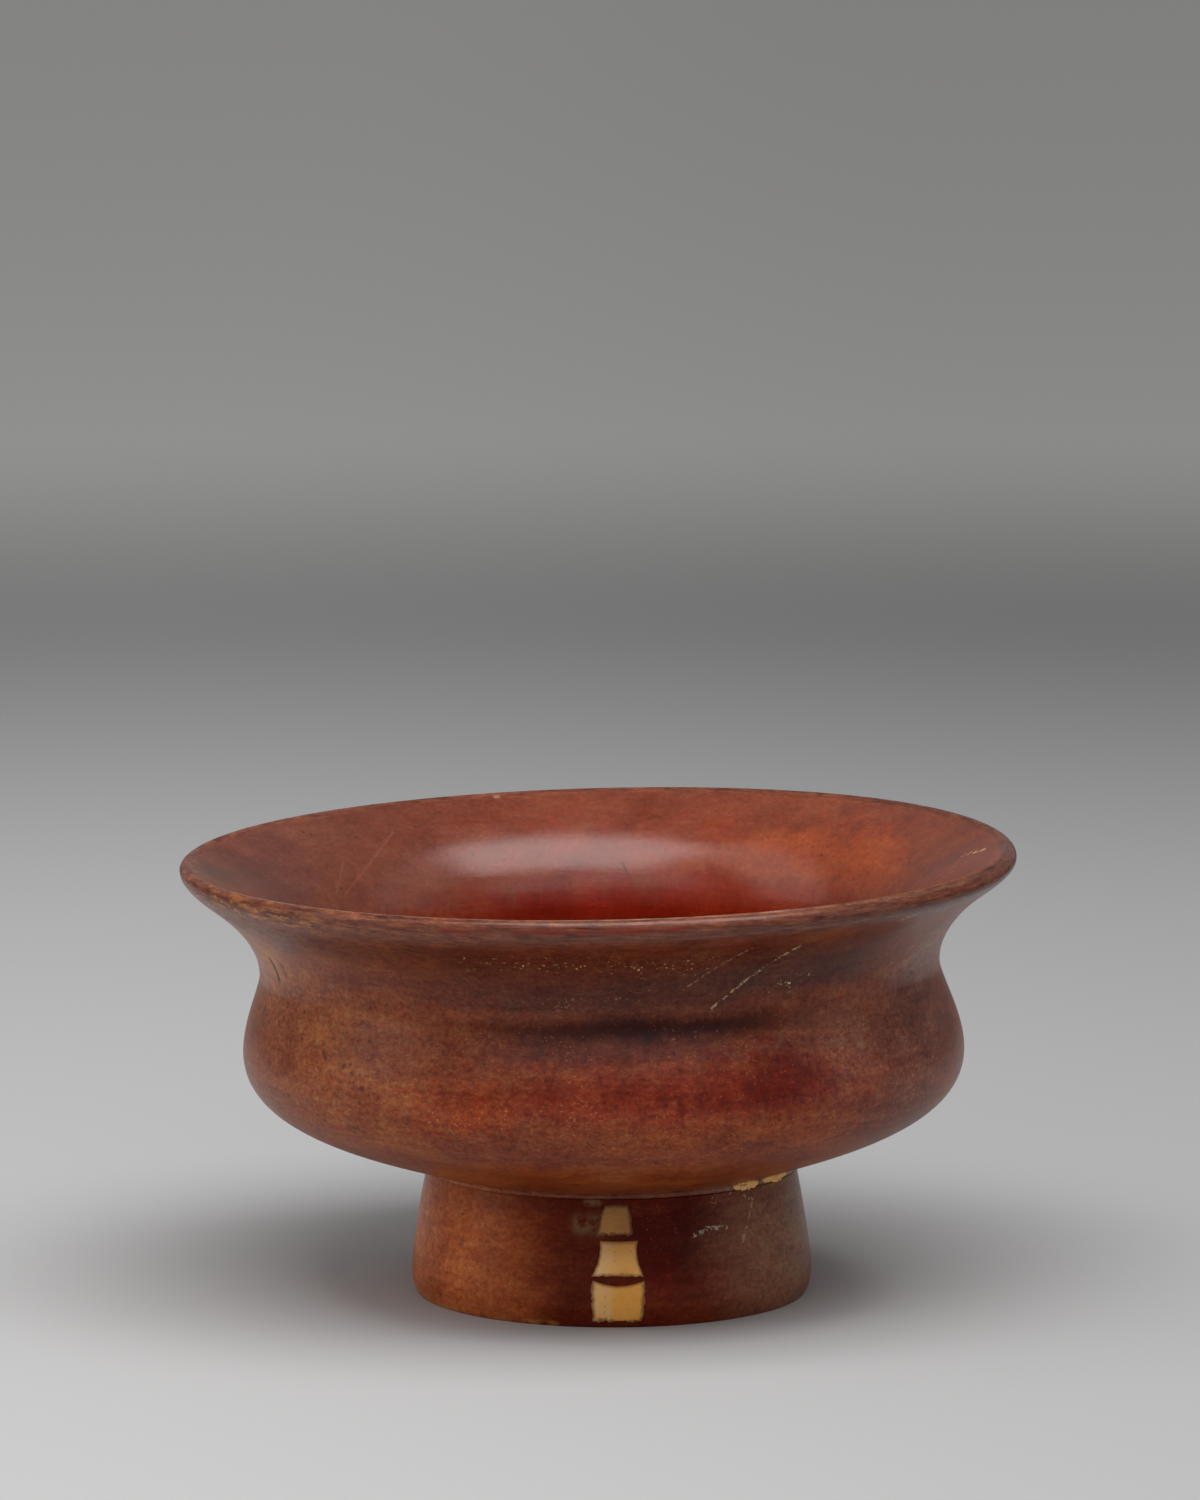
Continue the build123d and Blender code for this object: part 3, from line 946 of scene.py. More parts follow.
@dataclass
class Bowl:
    """Thrown bowl: flat seat, round belly, drawn-in neck and flaring lip."""

    seat_radius: float = 27.0
    seat_height: float = 19.0
    underside_slope: float = 17.8
    belly: Point = (51.83, 35.3)
    neck: Point = (48.82, 47.4)
    flare: Point = (55.65, 58.0)
    flare_slope: float = 37.5
    rim_radius: float = 60.0
    rim_height: float = 62.9
    crest: Point = (58.75, 63.85)
    crest_slope: float = 27.0
    wall: float = 4.2
    floor: float = 25.0
    segments: int = 400
    unevenness: float = 0.16
    seed: int = 3
    warp: Warp = Warp(base=15.43, span=48.3, centre=(2.149, -5.553, 2.973), lean=(0.782, 0.545),
                      back_lean=0.28, droop=2.3)

    def section(self) -> Section:
        """Half outline from the middle of the seat, up the outside and down to the middle of the floor."""
        outline = Section("bowl", self.rim_height)
        seat_edge = (self.seat_radius, self.seat_height)
        rim = (self.rim_radius, self.rim_height)
        waist = self.neck[1] - self.belly[1]
        drop = self.belly[1] - self.seat_height
        inner_neck = (self.neck[0] - self.wall, self.neck[1] - 0.2)
        inner_belly = (self.belly[0] - self.wall, self.belly[1])
        outline.run(straight((0.0, self.seat_height), seat_edge, 9), 0.0)
        outline.run(bend(seat_edge, self.underside_slope, 12.6, self.belly, 90.0, 0.57 * drop, 34), 0.0)
        outline.run(bend(self.belly, 90.0, 0.39 * waist, self.neck, 90.0, 0.20 * waist, 22), 0.0)
        outline.run(bend(self.neck, 90.0, 4.6, self.flare, self.flare_slope, 3.6, 20), 0.0)
        down = 180.0 + self.crest_slope
        over = 180.0 + self.crest_slope * 0.4
        outline.run(bend(self.flare, self.flare_slope, 3.2, rim, 90.0, 1.5, 14), 0.0, (-0.4, 1.8))
        outline.run(bend(rim, 90.0, 0.55, self.crest, over, 0.55, 8), 0.0, (1.0, 1.0))
        outline.edge[-2:] = [0.6, 1.0]
        shoulder = (self.crest[0] - 0.9, self.crest[1] - 0.42)
        outline.run(bend(self.crest, over, 0.3, shoulder, down, 0.3, 4), 0.5, (1.0, 0.6))
        outline.edge[-4] = 0.6
        outline.run(bend(shoulder, down, 7.6, inner_neck, 270.0, 8.4, 34), 1.0)
        outline.run(bend(inner_neck, 270.0, 0.20 * waist, inner_belly, 270.0, 0.39 * waist, 18), 1.0)
        outline.run(bend(inner_belly, 270.0, 0.81 * (self.belly[1] - self.floor), (0.0, self.floor), 180.0,
                         0.69 * inner_belly[0], 40), 1.0)
        return outline

    def build(self, wall: TurnedWall, finish: SlipFinish) -> bpy.types.Object:
        """Turns and dresses the bowl."""
        piece = wall.turn(self.section(), self.segments, self.warp, self.unevenness, self.seed,
                          finish.build())
        settle(piece, "bowl")
        return piece


@dataclass
class FootRing:
    """Hollow pedestal foot with knife-cut losses on its front."""

    axis: float = 1.5
    height: float = 18.2
    top_radius: float = 26.65
    waist: Point = (27.5, 13.4)
    swell: Point = (28.82, 3.4)
    base_radius: float = 27.9
    hollow_base: float = 23.1
    hollow_top: float = 20.7
    segments: int = 320
    unevenness: float = 0.14
    seed: int = 8

    def point(self, radius: float, turn: float, height: float) -> tuple[float, float, float]:
        """Place in metres from millimetres about the foot's axis and a turn from its front."""
        return (self.axis + radius * math.sin(turn)) * MM, -radius * math.cos(turn) * MM, height * MM

    def section(self) -> Section:
        """Closed half outline from the resting edge, up the outside and down the hollow."""
        outline = Section("foot_ring")
        base = (self.base_radius, 0.0)
        top = (self.top_radius, self.height - 0.25)
        outline.run(bend(base, 35.0, 0.45, self.swell, 90.0, 1.9, 14), 0.0)
        outline.run(bend(self.swell, 90.0, 2.2, self.waist, 99.5, 3.2, 26), 0.0)
        outline.run(bend(self.waist, 99.5, 1.5, top, 101.0, 1.5, 10), 0.0)
        brow = (self.top_radius - 0.3, self.height)
        throat = (self.hollow_top, self.height)
        heel = (self.hollow_base - 0.35, 0.8)
        rest = (self.hollow_base + 0.5, 0.0)
        outline.run(bend(top, 100.0, 0.2, brow, 180.0, 0.2, 4), 0.2)
        outline.run(straight(brow, throat, 5), 1.0)
        outline.run(straight(throat, heel, 16), 1.0)
        outline.run(bend(heel, 278.0, 0.4, rest, 0.0, 0.4, 5), 1.0)
        outline.run(straight(rest, base, 5), 0.7)
        return outline

    def build(self, wall: TurnedWall, finish: SlipFinish,
              pockets: list[bpy.types.Object]) -> bpy.types.Object:
        """Turns the foot, cuts the pockets of its fills and dresses it.

        Args:
            wall: Tree that turns sections.
            finish: Slip of the foot.
            pockets: Cutters, one for each fill, which are used up.

        Returns:
            The finished foot.
        """
        warp = Warp(centre=(self.axis, 0.0, 0.0))
        piece = wall.turn(self.section(), self.segments, warp, self.unevenness, self.seed, finish.build())
        for pocket in pockets:
            cut = piece.modifiers.new("loss", "BOOLEAN")
            cut.operation, cut.solver, cut.object = "DIFFERENCE", "EXACT", pocket
        mesh = worked_mesh(piece)
        piece.modifiers.clear()
        piece.data = mesh
        for pocket in pockets:
            bpy.data.objects.remove(pocket)
        mesh.set_sharp_from_angle(angle=SHARP)
        settle(piece, "foot_ring")
        return piece


@dataclass
class FrontFill:
    """Filled loss on the front of the foot, with a bell-shaped outline.

    Its corners are girths from the foot's front and heights, in millimetres. Its sides draw in by waist_in
    half way up, its top and base sag in the middle, and its face stands out from the foot by stand_base at
    the base and stand_top at the top.
    """

    # Steps across and up the face.
    COLUMNS: ClassVar[int] = 44
    ROWS: ClassVar[int] = 40
    # Depth of the pocket below the foot's top radius, and reach of its cutter past the foot's face.
    DEPTH: ClassVar[float] = 1.5
    OVERRUN: ClassVar[float] = 1.5
    # Room between the fill and its pocket.
    CLEARANCE: ClassVar[float] = 0.008
    # Width of the stained border.
    BORDER: ClassVar[float] = 0.75
    node: str
    slot: str
    base: Point
    base_right: Point
    top: Point
    top_right: Point
    waist_in: float
    top_sag: float
    base_sag: float
    ragged: float
    stand_base: float
    stand_top: float
    seed: float

    def outline(self, u: float, v: float) -> Point:
        """Place on the fill's face.

        Args:
            u: Share of the way from the left edge to the right one.
            v: Share of the way from the base to the top.

        Returns:
            Girth from the foot's front and height, in millimetres.
        """
        pinch = self.waist_in * math.sin(math.pi * v)
        left = self.base[0] + (self.top[0] - self.base[0]) * v + pinch
        right = self.base_right[0] + (self.top_right[0] - self.base_right[0]) * v - pinch
        low = self.base[1] + (self.base_right[1] - self.base[1]) * u - self.base_sag * math.sin(math.pi * u)
        high = self.top[1] + (self.top_right[1] - self.top[1]) * u - self.top_sag * math.sin(math.pi * u)
        girth, height = left + (right - left) * u, low + (high - low) * v
        rough = self.ragged * noise.noise(Vector((girth * 1.9, height * 1.9, self.seed)))
        return girth + rough * 0.5 * abs(2 * u - 1) ** 6, height + rough * (1.0 - v) ** 4

    def solid(self, foot: FootRing, section: Section, name: str, grow: float,
              front: float | None) -> bpy.types.Object:
        """Closed block between the pocket's back and the foot's face.

        Args:
            foot: Foot that the fill sits in.
            section: Outline of that foot.
            name: Name of the object.
            grow: Widening of the outline in millimetres.
            front: Distance of the face outside the foot, or None for the fill's own dressed face.

        Returns:
            Object with a closed mesh.
        """
        columns, rows = self.COLUMNS, self.ROWS
        wide = self.base_right[0] - self.base[0]
        tall = self.top[1] - self.base[1]
        borders: list[float] = []
        middle_girth = (self.base[0] + self.base_right[0]) / 2
        middle_height = (self.base[1] + self.top[1]) / 2
        verts: list[tuple[float, float, float]] = []
        for back in (False, True):
            for j in range(rows + 1):
                for i in range(columns + 1):
                    u, v = i / columns, j / rows
                    girth, height = self.outline(u, v)
                    girth += math.copysign(grow, girth - middle_girth) * abs(2 * u - 1)
                    height += math.copysign(grow, height - middle_height) * abs(2 * v - 1)
                    radius = section.radius_at(height)
                    inset = min(min(u, 1.0 - u) * wide, min(v, 1.0 - v) * tall)
                    border = max(0.0, 1.0 - inset / self.BORDER)
                    borders.append(border)
                    if back:
                        radius = foot.top_radius - self.DEPTH
                    elif front is not None:
                        radius += front
                    else:
                        stand = self.stand_base + (self.stand_top - self.stand_base) * v ** 0.8
                        spot = Vector((girth * 1.1, height * 1.1, self.seed + 5.0))
                        uneven = 0.05 * noise.noise(spot)
                        radius += stand + uneven - 0.06 * border ** 3
                    verts.append(foot.point(radius, girth / FOOT_GIRTH, height))
        layer = (columns + 1) * (rows + 1)

        def near(i: int, j: int) -> int:
            """Number of a grid point on the face."""
            return j * (columns + 1) + i

        def deep(i: int, j: int) -> int:
            """Number of a grid point on the back."""
            return near(i, j) + layer

        faces: list[tuple[int, ...]] = []
        for j in range(rows):
            for i in range(columns):
                faces.append((near(i, j), near(i + 1, j), near(i + 1, j + 1), near(i, j + 1)))
                faces.append((deep(i, j), deep(i, j + 1), deep(i + 1, j + 1), deep(i + 1, j)))
        for i in range(columns):
            faces.append((near(i, 0), deep(i, 0), deep(i + 1, 0), near(i + 1, 0)))
            faces.append((near(i, rows), near(i + 1, rows), deep(i + 1, rows), deep(i, rows)))
        for j in range(rows):
            faces.append((near(0, j), near(0, j + 1), deep(0, j + 1), deep(0, j)))
            faces.append((near(columns, j), deep(columns, j), deep(columns, j + 1), near(columns, j + 1)))
        mesh = bpy.data.meshes.new(name)
        mesh.from_pydata(verts, [], faces)
        mesh.attributes.new("border", "FLOAT", "POINT").data.foreach_set("value", borders)
        return put(name, mesh)

    def pocket(self, foot: FootRing, section: Section) -> bpy.types.Object:
        """Cutter that takes the loss out of the foot."""
        return self.solid(foot, section, self.node + "_pocket", self.CLEARANCE, self.OVERRUN)

    def build(self, foot: FootRing, section: Section, finish: bpy.types.Material) -> bpy.types.Object:
        """Makes and dresses the fill."""
        piece = self.solid(foot, section, self.node, 0.0, None)
        mesh = piece.data
        mesh.materials.append(finish)
        mesh.shade_smooth()
        mesh.set_sharp_from_angle(angle=SHARP)
        settle(piece, self.node)
        return piece


@dataclass
class SeamFill:
    """Lump of filler pressed into the seam between foot and bowl.

    It runs from start to end, in degrees from the front, about a line at the given radius and height.
    """

    # Rings along the lump, and points round each of them.
    STATIONS: ClassVar[int] = 48
    SIDES: ClassVar[int] = 20
    node: str
    start: float
    end: float
    radius: float
    height: float
    thick: float
    tall: float
    seed: float

    def build(self, foot: FootRing, finish: bpy.types.Material) -> bpy.types.Object:
        """Makes and dresses the lump.

        Args:
            foot: Foot whose seam is filled.
            finish: Material of the filler.

        Returns:
            The finished lump.
        """
        stations, sides = self.STATIONS, self.SIDES
        shape = bmesh.new()
        rings = []
        for k in range(stations + 1):
            share = k / stations
            turn = math.radians(self.start + (self.end - self.start) * share)
            full = (1.0 - abs(2.0 * share - 1.0) ** 2.6) ** 0.6 + 0.02
            ring = []
            for s in range(sides):
                way = 2.0 * math.pi * s / sides
                out, up = math.cos(way), math.sin(way)
                lump = 1.0 + 0.5 * noise.noise(Vector((share * 5.5, out, self.seed + up)))
                lump += 0.55 * noise.noise(Vector((share * 14.0, 2.0 * out, self.seed + 2.0 * up)))
                radius = self.radius + self.thick * full * lump * out
                height = self.height + self.tall * full * lump * up
                ring.append(shape.verts.new(foot.point(radius, turn, height)))
            rings.append(ring)
        for first, second in zip(rings, rings[1:]):
            for s in range(sides):
                shape.faces.new((first[s], first[(s + 1) % sides], second[(s + 1) % sides], second[s]))
        shape.faces.new(list(reversed(rings[0])))
        shape.faces.new(rings[-1])
        bmesh.ops.recalc_face_normals(shape, faces=shape.faces)
        mesh = bpy.data.meshes.new(self.node)
        shape.to_mesh(mesh)
        shape.free()
        mesh.shade_smooth()
        mesh.materials.append(finish)
        piece = put(self.node, mesh)
        settle(piece, self.node)
        return piece


@dataclass
class LutingSlip:
    """Ring of slip between foot and bowl, with the bead that was squeezed out."""

    foot_height: float = FootRing.height
    inner_radius: float = 21.1
    outer_radius: float = 26.6
    bead: float = 0.42
    reach: float = 1.6
    high: float = 19.75
    segments: int = 240
    unevenness: float = 0.30
    seed: int = 21

    def section(self) -> Section:
        """Closed half outline of layer and bead."""
        outline = Section("luting_slip")
        low = self.foot_height + 0.01
        outline.run(straight((self.inner_radius, low), (self.outer_radius, low), 6), 0.0)
        outer = (self.outer_radius + self.bead, low + 0.45)
        meet = (self.outer_radius + self.reach, self.high)
        outline.run(bend((self.outer_radius, low), -10.0, 0.3, outer, 90.0, 0.2, 6), 0.0)
        outline.run(bend(outer, 90.0, 0.25, meet, 45.0, 0.35, 8), 0.0)
        outline.run(straight(meet, (self.inner_radius, self.high - 0.55), 8), 1.0)
        outline.run(straight((self.inner_radius, self.high - 0.55), (self.inner_radius, low), 3), 1.0)
        return outline

    def build(self, wall: TurnedWall, foot: FootRing, finish: SlipFinish) -> bpy.types.Object:
        """Turns and dresses the slip."""
        warp = Warp(base=self.foot_height, span=self.high - self.foot_height,
                    centre=(foot.axis, 0.0, 0.0), lean=(0.25, 0.5))
        piece = wall.turn(self.section(), self.segments, warp, self.unevenness, self.seed, finish.build())
        settle(piece, "luting_slip")
        return piece


@dataclass(frozen=True)
class Softbox:
    """One rectangular lamp, in metres and watts, facing the foot of the bowl."""

    name: str
    place: tuple[float, float, float]
    size: tuple[float, float]
    power: float


@dataclass
class Studio:
    """Floor, soft lamps, dim room and the camera."""

    camera_place: tuple[float, float, float] = (0.0015, -1.31804, 0.26903)
    camera_pitch: float = 8.226
    camera_yaw: float = 0.072
    lens: float = 223.21
    sensor: float = 36.0
    clip: Span = (0.01, 50.0)
    floor_radius: float = 7.0
    floor_corners: int = 96
    aim: tuple[float, float, float] = (0.0, 0.0, 0.03)
    room: float = 0.23
    lamps: tuple[Softbox, ...] = (
        Softbox("key", (0.070, -0.25, 0.78), (0.80, 0.55), 5.95),
        Softbox("front_panel", (0.0, -1.9, 1.3), (3.4, 0.8), 8.0),
        Softbox("left_panel", (-1.6, -0.3, 1.0), (1.0, 2.4), 7.6),
        Softbox("right_panel", (1.6, -0.3, 1.0), (1.0, 2.4), 3.3),
    )

    def hang(self, lamp: Softbox) -> None:
        """Hangs one lamp, out of the camera's sight."""
        light = bpy.data.lights.new(lamp.name, "AREA")
        light.shape, light.energy = "RECTANGLE", lamp.power
        light.size, light.size_y = lamp.size
        holder = put(lamp.name, light)
        holder.location = lamp.place
        holder.rotation_euler = (Vector(self.aim) - Vector(lamp.place)).to_track_quat("-Z", "Y").to_euler()
        holder.visible_camera = False

    def build(self) -> None:
        """Sets the stage."""
        scene = bpy.context.scene
        mesh = bpy.data.meshes.new("floor")
        turns = np.linspace(0.0, 2.0 * math.pi, self.floor_corners, endpoint=False)
        reach = self.floor_radius
        rim = [(reach * math.cos(turn), reach * math.sin(turn), 0.0) for turn in turns]
        mesh.from_pydata(rim, [], [tuple(range(len(rim)))])
        mesh.materials.append(FloorFinish().build())
        floor = put("floor", mesh)

        for lamp in self.lamps:
            self.hang(lamp)

        world = bpy.data.worlds.new("dim_room")
        world.use_nodes = True
        background = world.node_tree.nodes["Background"]
        background.inputs["Color"].default_value = (self.room, self.room, self.room, 1.0)
        scene.world = world

        lens = bpy.data.cameras.new("camera")
        lens.sensor_fit, lens.sensor_height, lens.lens = "VERTICAL", self.sensor, self.lens
        lens.clip_start, lens.clip_end = self.clip
        camera = put("camera", lens)
        camera.location = self.camera_place
        camera.rotation_euler = (math.radians(90.0 - self.camera_pitch), 0.0, math.radians(self.camera_yaw))
        scene.camera = camera
        scene.view_settings.view_transform = "Standard"


BOWL_TINTS = (
    Tint((-60.0, 38.0), (46.0, 24.0), (0.300, 0.076, 0.027), 0.9),
    # Partly painted sheen: the left neck is lighter and more orange, its own colour together with the sheen
    # it shows there.
    Tint((-66.0, 52.0), (15.0, 7.0), (0.42, 0.130, 0.040), 0.8),
    # Partly painted sheen: the right of the belly is browner and greyer, in part standing in for the grey
    # reflection at its edge.
    Tint((50.0, 38.0), (24.0, 13.0), (0.145, 0.043, 0.028), 0.9),
    Tint((4.0, 52.2), (42.0, 4.8), (0.090, 0.015, 0.006), 0.85, ragged=0.4),
    Tint((0.0, 57.2), (60.0, 3.6), (0.105, 0.018, 0.005), 0.7, ragged=0.4),
    Tint((10.0, 36.6), (36.0, 5.0), (0.225, 0.025, 0.010), 0.85),
    Tint((23.0, 38.0), (15.0, 5.0), (0.115, 0.006, 0.002), 0.85),
    Tint((-32.0, 42.5), (14.0, 4.0), (0.190, 0.045, 0.018), 0.6),
    Tint((-22.0, 40.0), (9.0, 6.0), (0.185, 0.038, 0.018), 0.55),
    # Painted sheen: pale greyish patch at the right end of the neck, where the wall reflects the room on
    # its right.
    Tint((59.0, 50.0), (11.0, 5.0), (0.265, 0.110, 0.078), 0.75),
    Tint((-57.0, 46.5), (9.0, 4.0), (0.350, 0.098, 0.034), 0.5),
    Tint((28.0, 53.0), (26.0, 5.0), (0.072, 0.020, 0.013), 0.7, ragged=0.5),
    # Painted sheen: greyer band at the foot of the neck, standing in for the floor's reflection.
    Tint((-4.0, 50.0), (22.0, 2.0), (0.115, 0.032, 0.020), 0.55, ragged=0.4),
    # Painted sheen: greyish mauve band on the top of the belly, standing in for the front lamp's
    # reflection.
    Tint((7.0, 43.2), (32.0, 2.0), (0.120, 0.024, 0.018), 0.65, ragged=0.4),
    Tint((22.0, 29.5), (24.0, 4.0), (0.270, 0.050, 0.014), 0.85),
    # Painted shade: near-black band below the neck, where the flaring lip shades the wall and the wall
    # reflects the dark room.
    Tint((8.0, 46.2), (31.0, 2.5), (0.030, 0.002, 0.001), 0.95, ragged=0.3),
    Tint((-19.5, 35.0), (8.0, 4.0), (0.34, 0.048, 0.008), 0.7),
    # Partly painted bounce light: the underside is lighter and more orange near the seat, where light from
    # the floor falls on it.
    Tint((0.0, 22.5), (80.0, 4.5), (0.290, 0.054, 0.009), 0.8),
    Tint((-54.0, 58.0), (32.0, 13.0), (0.140, 0.034, 0.018), 0.9, Side.INNER),
    # Painted light: the inner wall is a lighter red where the key lamp's highlight falls.
    Tint((2.0, 56.0), (30.0, 5.0), (0.238, 0.035, 0.011), 0.8, Side.INNER),
    Tint((40.0, 56.5), (26.0, 5.5), (0.290, 0.051, 0.013), 0.9, Side.INNER),
    Tint((61.0, 61.5), (16.0, 4.0), (0.165, 0.030, 0.012), 0.75, Side.INNER),
    Tint((10.0, 47.5), (48.0, 6.5), (0.220, 0.009, 0.001), 0.95, Side.INNER),
    Tint((30.0, 50.0), (22.0, 4.0), (0.255, 0.022, 0.001), 0.7, Side.INNER),
    # Partly painted reflection: the inner lip at the far left is a greyer brown where it reflects the room.
    Tint((-88.0, 61.5), (18.0, 3.5), (0.155, 0.060, 0.026), 0.7, Side.INNER),
    Tint((-76.0, 62.0), (8.0, 3.0), (0.085, 0.026, 0.008), 0.7, Side.INNER),
)

CREAM = (0.66, 0.44, 0.22)
EMBER = (0.70, 0.22, 0.045)
SOOT = (0.035, 0.016, 0.012)

BOWL_MARKS = (
    Mark(MarkKind.FLAMES, (5.0, 36.8), (32.0, 37.2), 4.4, 0.85, (0.085, 0.006, 0.002)),
    Mark(MarkKind.DOTS, (-24.0, 34.3), (-13.0, 34.8), 3.2, 0.7, EMBER),
    Mark(MarkKind.DOTS, (-12.0, 31.5), (26.0, 31.0), 3.0, 0.35, EMBER),
    Mark(MarkKind.SPOTS, (-43.0, 41.5), (-33.0, 37.0), 4.5, 0.7, SOOT),
    Mark(MarkKind.SPOTS, (-62.0, 46.0), (-63.0, 40.0), 4.0, 0.6, SOOT),
    Mark(MarkKind.SPOTS, (-26.0, 40.0), (-18.0, 42.5), 3.5, 0.5, SOOT),
    Mark(MarkKind.SMEAR, (5.0, 45.0), (7.2, 45.2), 0.9, 0.8, (0.02, 0.012, 0.012)),
    Mark(MarkKind.SCRATCH, (26.6, 57.4), (16.1, 48.5), 0.28, 0.75),
    Mark(MarkKind.SCRATCH, (19.4, 57.8), (11.8, 51.8), 0.24, 0.55, (0.40, 0.22, 0.12)),
    Mark(MarkKind.DOTS, (4.5, 55.2), (14.5, 55.6), 2.2, 1.0, CREAM),
    Mark(MarkKind.DOTS, (25.3, 50.4), (30.8, 51.6), 1.9, 1.0, CREAM),
    Mark(MarkKind.DOTS, (-17.0, 56.6), (2.0, 56.0), 2.2, 1.0, (0.66, 0.42, 0.17)),
    Mark(MarkKind.DOTS, (-8.0, 50.0), (8.0, 51.2), 1.8, 0.35, (0.50, 0.32, 0.20)),
    Mark(MarkKind.SCRATCH, (40.3, 59.4), (42.6, 59.8), 0.34, 0.8, (0.55, 0.36, 0.20)),
    Mark(MarkKind.DOTS, (36.0, 63.4), (42.0, 63.4), 0.9, 1.0, CREAM),
    Mark(MarkKind.SMEAR, (-19.0, 61.9), (10.0, 61.9), 0.55, 0.9, (0.24, 0.014, 0.003)),
    Mark(MarkKind.STREAKS, (-58.0, 59.0), (-20.0, 58.2), 3.4, 0.75, (0.035, 0.014, 0.008)),
    Mark(MarkKind.STREAKS, (-56.0, 61.8), (-36.0, 60.9), 2.3, 0.9, (0.62, 0.24, 0.065)),
    Mark(MarkKind.STREAKS, (-36.0, 61.2), (-12.0, 61.0), 1.7, 0.5, (0.42, 0.10, 0.035)),
    Mark(MarkKind.STREAKS, (-78.0, 61.5), (-58.0, 61.5), 2.2, 0.6, (0.40, 0.15, 0.05)),
    # Painted shade: two soft dark strokes on the left neck stand in for the shade inside small dents.
    Mark(MarkKind.NICK_AND_DENT_SHADE, (-58.9, 49.4), (-58.9, 52.1), 0.90, 0.85, (0.06, 0.02, 0.012)),
    Mark(MarkKind.NICK_AND_DENT_SHADE, (-55.4, 50.4), (-55.5, 51.8), 0.70, 0.60, (0.06, 0.02, 0.012)),
    Mark(MarkKind.NICK_AND_DENT_SHADE, (-31.0, 60.6), (-38.5, 57.2), 0.30, 0.15, (0.42, 0.13, 0.07), Side.INNER),
    Mark(MarkKind.NICK_AND_DENT_SHADE, (-38.5, 57.2), (-47.0, 53.8), 0.30, 0.15, (0.42, 0.13, 0.07), Side.INNER),
    Mark(MarkKind.NICK_AND_DENT_SHADE, (-43.0, 58.2), (-49.0, 54.2), 0.26, 0.11, (0.42, 0.13, 0.07), Side.INNER),
    Mark(MarkKind.NICK_AND_DENT_SHADE, (3.6, 54.7), (4.7, 52.8), 0.40, 0.55, (0.08, 0.02, 0.014), Side.INNER),
    Mark(MarkKind.SCRATCH, (71.3, 61.0), (75.5, 62.4), 0.40, 0.7, (0.60, 0.40, 0.19), Side.INNER),
    Mark(MarkKind.SMEAR, (-13.8, 63.7), (-13.2, 63.7), 0.30, 0.6, (0.62, 0.42, 0.26), Side.INNER),
)

FOOT_TINTS = (
    # Partly painted light: the left of the foot is a lighter orange, its own colour together with the light
    # from the left.
    Tint((-33.0, 8.0), (27.0, 16.0), (0.60, 0.155, 0.044), 0.95, ragged=0.5),
    Tint((-3.0, 8.0), (11.0, 14.0), (0.105, 0.012, 0.002), 0.85, ragged=0.5),
    # Painted shade: darker patch right of the middle of the foot, where the bowl shades it.
    Tint((10.0, 12.5), (13.0, 7.0), (0.058, 0.003, 0.001), 0.9, ragged=0.5),
    Tint((12.0, 2.5), (15.0, 4.5), (0.140, 0.020, 0.005), 0.8, ragged=0.5),
    # Painted sheen: the right of the foot is greyer, standing in for the room's reflection.
    Tint((32.0, 11.0), (20.0, 18.0), (0.220, 0.095, 0.055), 0.9, ragged=0.5),
    # Painted shade: darker band along the top of the foot, under the bead and the bowl.
    Tint((-4.0, 17.4), (22.0, 2.0), (0.110, 0.018, 0.006), 0.4, ragged=0.3),
)

FOOT_MARKS = (
    Mark(MarkKind.SMEAR, (-36.0, 0.4), (-8.0, 0.3), 0.9, 0.8, (0.52, 0.20, 0.05)),
    Mark(MarkKind.SCRATCH, (12.1, 12.7), (14.3, 13.2), 0.42, 1.0, (0.42, 0.34, 0.25)),
    Mark(MarkKind.SCRATCH, (14.3, 13.5), (17.7, 13.3), 0.42, 1.0, (0.42, 0.34, 0.25)),
    Mark(MarkKind.SCRATCH, (23.6, 16.6), (20.5, 11.0), 0.30, 0.6, (0.50, 0.32, 0.18)),
    Mark(MarkKind.DOTS, (16.5, 17.4), (23.0, 17.2), 1.6, 0.9, (0.52, 0.36, 0.20)),
    Mark(MarkKind.DOTS, (20.5, 10.0), (22.5, 16.0), 1.4, 0.5, (0.52, 0.36, 0.20)),
    Mark(MarkKind.SMEAR, (-4.6, 14.7), (-2.0, 14.6), 2.3, 0.9, (0.22, 0.12, 0.045)),
    Mark(MarkKind.SMEAR, (-3.6, 17.7), (-2.0, 17.7), 0.8, 0.8, (0.32, 0.19, 0.10)),
    Mark(MarkKind.SPOTS, (-20.0, 6.0), (-12.0, 9.0), 3.5, 0.35, SOOT),
)

BOWL_SLIP = SlipFinish(
    name="red_slip",
    unrolling=Unrolling(centre=-0.2, lean=0.0212, radius=50.0),
    ground=(0.232, 0.045, 0.015),
    inner_ground=(0.188, 0.037, 0.015),
    tints=BOWL_TINTS,
    marks=BOWL_MARKS,
)

FOOT_FLAT = Unrolling(centre=FootRing.axis, lean=0.0, radius=FOOT_GIRTH)

FOOT_SLIP = SlipFinish(
    name="foot_red_slip",
    unrolling=FOOT_FLAT,
    ground=(0.135, 0.006, 0.001),
    inner_ground=(0.135, 0.006, 0.001),
    tints=FOOT_TINTS,
    marks=FOOT_MARKS,
    worn_side=(10.0, -26.0),
    mottling=0.75,
    flecks=0.25,
    film=0.3,
    gloss=0.10,
    inner_gloss=0.10,
    bare_inside=True,
)

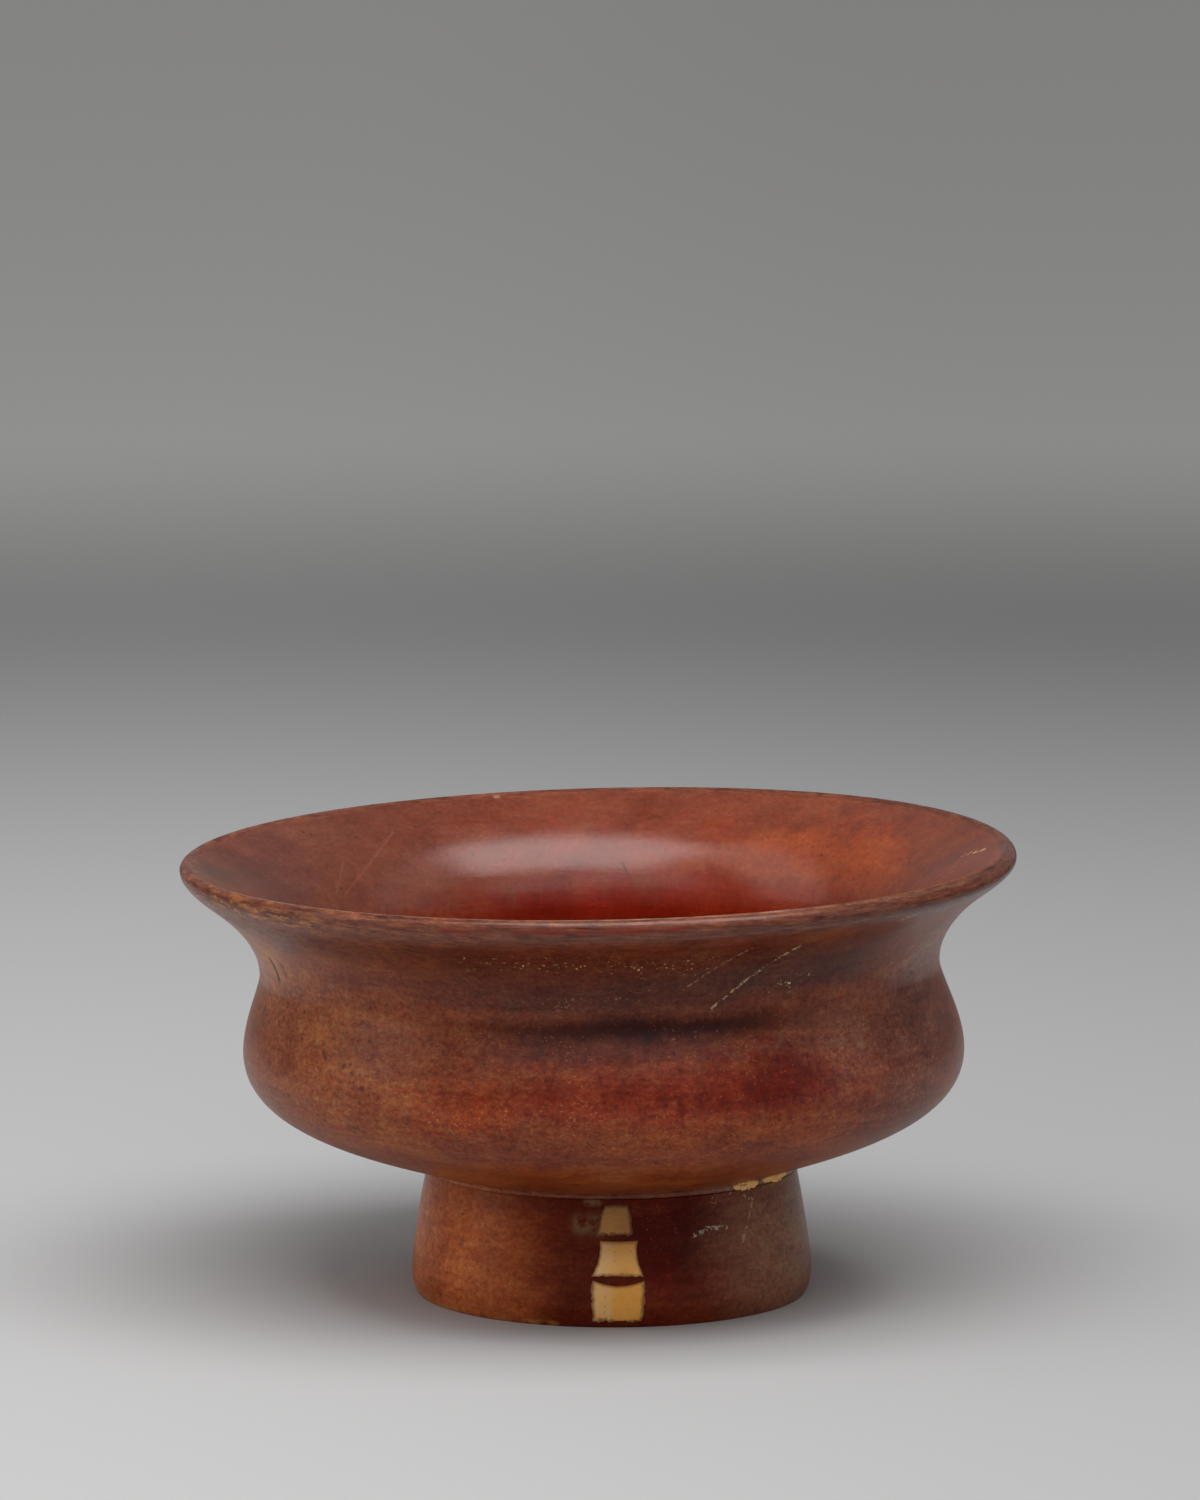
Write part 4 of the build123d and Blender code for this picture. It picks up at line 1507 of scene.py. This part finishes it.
LUTING = SlipFinish(
    name="luting_clay",
    unrolling=FOOT_FLAT,
    ground=(0.15, 0.033, 0.016),
    inner_ground=(0.15, 0.033, 0.016),
    tints=(
        # Partly painted light: the slip is a lighter orange on the left, its own colour together with the
        # light from the left.
        Tint((-34.0, 18.5), (27.0, 9.0), (0.40, 0.10, 0.030), 0.9),
        # Partly painted sheen: the slip is greyer on the right, in part standing in for the room's
        # reflection.
        Tint((32.0, 18.5), (20.0, 9.0), (0.200, 0.085, 0.050), 0.9),
    ),
    flecks=0.25,
    gloss=0.40,
    inner_gloss=0.40,
    roughness=0.28,
)

PALE_FILL = FillFinish(
    name="pale_fill",
    pale=(0.95, 0.60, 0.26),
    deep=(0.95, 0.42, 0.055),
    dusty=(0.95, 0.55, 0.19),
    deep_side=(0.8, 2.4),
)

STAINED_FILL = FillFinish(
    name="stained_fill",
    pale=(0.50, 0.23, 0.055),
    deep=(0.32, 0.125, 0.024),
    dusty=(0.42, 0.19, 0.050),
    deep_side=(1.0, 5.0),
    browned=(30.0, 31.0),
    stain=(0.16, 0.05, 0.012),
)

FRONT_FILLS = (
    FrontFill(
        node="lower_foot_fill", slot="pale_fill",
        base=(-2.5, 1.0), base_right=(4.2, 0.95), top=(-2.75, 6.9), top_right=(4.6, 6.75),
        waist_in=-0.12, top_sag=0.75, base_sag=0.0, ragged=0.5, stand_base=0.0, stand_top=-0.10, seed=1.0,
    ),
    FrontFill(
        node="upper_foot_fill", slot="pale_fill",
        base=(-2.75, 7.45), base_right=(4.5, 7.4), top=(-1.65, 12.4), top_right=(3.7, 12.4),
        waist_in=0.42, top_sag=0.1, base_sag=-0.1, ragged=0.15, stand_base=0.30, stand_top=0.0, seed=2.0,
    ),
    FrontFill(
        node="stained_foot_fill", slot="stained_fill",
        base=(-2.05, 13.2), base_right=(2.95, 13.2), top=(-0.95, 17.3), top_right=(2.4, 17.3),
        waist_in=-0.2, top_sag=-0.1, base_sag=0.0, ragged=0.35, stand_base=0.02, stand_top=0.0, seed=3.0,
    ),
)

SEAM_FILLS = (
    SeamFill(node="front_seam_fill", start=39.5, end=50.5, radius=27.0, height=18.95,
             thick=0.62, tall=0.70, seed=4.0),
    SeamFill(node="side_seam_fill", start=51.5, end=67.0, radius=27.0, height=19.2,
             thick=0.58, tall=0.78, seed=9.0),
)


def main() -> None:
    """Builds the pieces in order."""
    logging.basicConfig(level=logging.INFO, format="%(name)s: %(message)s")
    wall = TurnedWall()
    foot = FootRing()
    outline = foot.section()
    Bowl().build(wall, BOWL_SLIP)
    foot.build(wall, FOOT_SLIP, [fill.pocket(foot, outline) for fill in FRONT_FILLS])
    LutingSlip().build(wall, foot, LUTING)
    fills = {"pale_fill": PALE_FILL.build(), "stained_fill": STAINED_FILL.build()}
    for fill in FRONT_FILLS:
        fill.build(foot, outline, fills[fill.slot])
    for lump in SEAM_FILLS:
        lump.build(foot, fills["pale_fill"])
    Studio().build()


if __name__ == "__main__":
    main()
